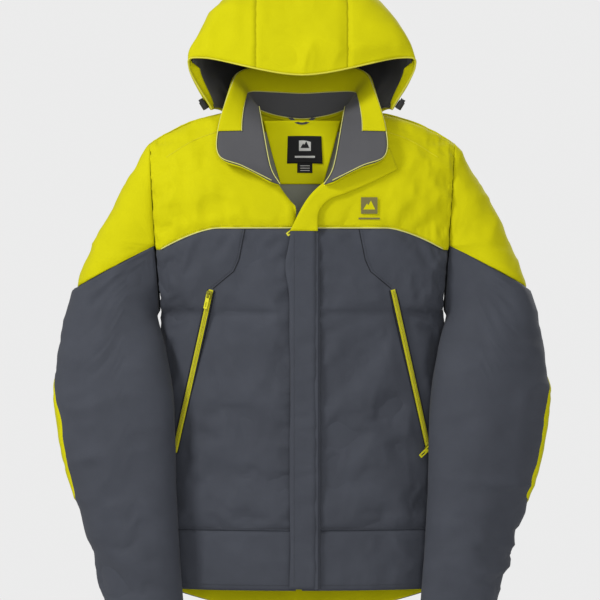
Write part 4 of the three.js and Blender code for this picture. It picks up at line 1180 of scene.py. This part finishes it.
def teeth(name, axes, lift, width, material, pitch=1.9):
    """The coil of a closed zip: two rows of small rounded ribs."""
    middle, along, across, out, length = axes
    middle = middle + out * lift
    verts, faces = [], []
    section = [(-0.5, 0.0), (-0.32, 0.62), (0.32, 0.62), (0.5, 0.0)]
    for k in range(int(length / pitch)):
        t = -length / 2 + (k + 0.5) * pitch
        for side in (-1, 1):
            start = len(verts)
            for reach, slant in ((0.15, 0.35), (width / 2, -0.35)):
                for s, h in section:
                    ahead = t + s * pitch * 0.8 + slant * side * 0.5
                    verts.append(middle + along * ahead + across * side * reach + out * h)
            faces += [(start + i, start + i + 1, start + i + 5, start + i + 4) for i in range(3)]
            faces += [(start + 3, start, start + 4, start + 7), (start, start + 1, start + 2, start + 3)]
            faces.append((start + 7, start + 6, start + 5, start + 4))
    piece = make_mesh(name, verts, faces, material)
    fix_normals(piece)
    return piece


def make_pocket_zips():
    """The pocket zips' tapes, dark strips of painted shade along their folded edges, and coils."""
    for name, hand in HANDS.items():
        axes = pocket_axes(hand)
        tape = zip_strip(f"{name}_pocket_tape_cloth", axes, (-4.4, 4.4), (-1, 1.4), ZIP_TAPE)
        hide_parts(f"{name}_pocket_tape")
        for side, label in ((-1, "in"), (1, "out")):
            sides = (side * 5.6 - 1.2, side * 5.6 + 1.2)
            # Dark strips beside the zip: painted shade of the welts' folds.
            zip_strip(f"{name}_pocket_welt_shadow_{label}", axes, sides, (-2.5, 1.5), SEAM_PAINTED_SHADE, 0.5)
        coil = teeth(f"{name}_pocket_teeth", axes, 2.0, 4.6, COIL_YELLOW)
        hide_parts(f"{name}_pocket_coil")


# ---- seams, piping and stitches on the body ----
# Seams on the left side, as (x, z) points.
CHEST_SEAM = [(94, -187), (104, -238), (113, -258), (147, -286)]
SHOULDER_SEAM = [(142, -26), (180, -40), (226, -68)]


def lay(name, xs, zs, tree, radius, material, side=-1, lift=0.9):
    """A thread or piping on the cloth over (x, z) points."""
    rope(name, body_line(xs, zs, side, lift, tree)[0], radius, material)


def sew(name, xs, zs, tree, thread, side=-1):
    """A row of stitches on the cloth over (x, z) points."""
    path, out = body_line(xs, zs, side, 0.2, tree)
    stitches(name, path, out, thread)


def make_seams():
    """Piping, whose pale colour is partly painted highlight, seams, where the chest seam's dark line is
    painted shade, and stitches on the fronts, yokes and back.
    """
    parts = [f"{name}_{part}" for name in HANDS for part in ("front", "yoke", "hem_band")]
    tree = cloth_tree(*parts, "back_body", "back_yoke_cloth")
    for name, hand in HANDS.items():
        xs = np.linspace(hand * (10 if hand < 0 else 6), hand * 233, 60)
        # The yoke piping's pale colour is partly painted highlight along the seam.
        lay(f"{name}_yoke_piping", xs, yoke_seam_z(xs), tree, 1.1, PIPING_HIGHLIGHT)
        sew(f"{name}_yoke_stitches", xs, yoke_seam_z(xs) + 4.5, tree, THREAD_YELLOW)
        at = np.linspace(0, 3, 90)
        xs, zs = (np.interp(at, range(4), line) for line in zip(*CHEST_SEAM))
        xs = hand * xs
        # A dark thread along the chest seam: painted shade of its groove.
        lay(f"{name}_chest_seam_shadow", xs, zs, tree, 0.75, SEAM_PAINTED_SHADE, lift=0.1)
        sew(f"{name}_chest_stitches", xs + hand * 4, zs + 2, tree, THREAD_GREY)
        line = spline([(hand * x, 0, z) for x, z in SHOULDER_SEAM], np.linspace(0, 1, 80))
        lay(f"{name}_shoulder_seam", line[:, 0], line[:, 2], tree, 0.6, THREAD_YELLOW, lift=0.1)
        xs = np.linspace(hand * 14, hand * 230, 120)
        sew(f"{name}_band_stitches", xs, band_z(xs) + 5, tree, THREAD_GREY)
        sew(f"{name}_hem_stitches", xs, HEM_Z + 9 + 0 * xs, tree, THREAD_GREY)
    xs = np.linspace(-233, 233, 160)
    lay("back_yoke_piping", xs, yoke_seam_z(xs), tree, 1.1, PIPING_HIGHLIGHT, side=1)
    sew("back_yoke_stitches", xs, yoke_seam_z(xs) + 4.5, tree, THREAD_YELLOW, side=1)


def dress_frame():
    """Finishes for the hard parts and bands of the frame that stay visible."""
    finishes = {
        BLACK: ["right_cord_lock", "left_cord_lock", "right_lock_button", "left_lock_button", "main_zip_coil",
                "flap_hook_strip", "flap_loop_strip"],
        PULL: ["main_puller", "right_pocket_puller", "left_pocket_puller"],
        SLIDER: ["main_slider", "right_pocket_slider", "left_pocket_slider"],
        TAPE: ["right_zip_tape", "left_zip_tape"],
        YELLOW: ["right_front_facing", "left_front_facing"],
        GREY: ["flap_root"],
        COLLAR: ["hanger_loop"],
        LINING: ["right_pocket_bag", "left_pocket_bag"],
    }
    for material, names in finishes.items():
        for name in names:
            for slot in bpy.data.objects[name].material_slots:
                slot.material = material


make_camera()
make_stage()
make_body()
make_sleeves()
make_elbows()
make_cuff_tabs()
make_hood()
make_collar()
make_neck_inside()
make_emblem()
make_linings()
make_flap()
make_wing()
make_pocket_zips()
make_seams()
dress_frame()
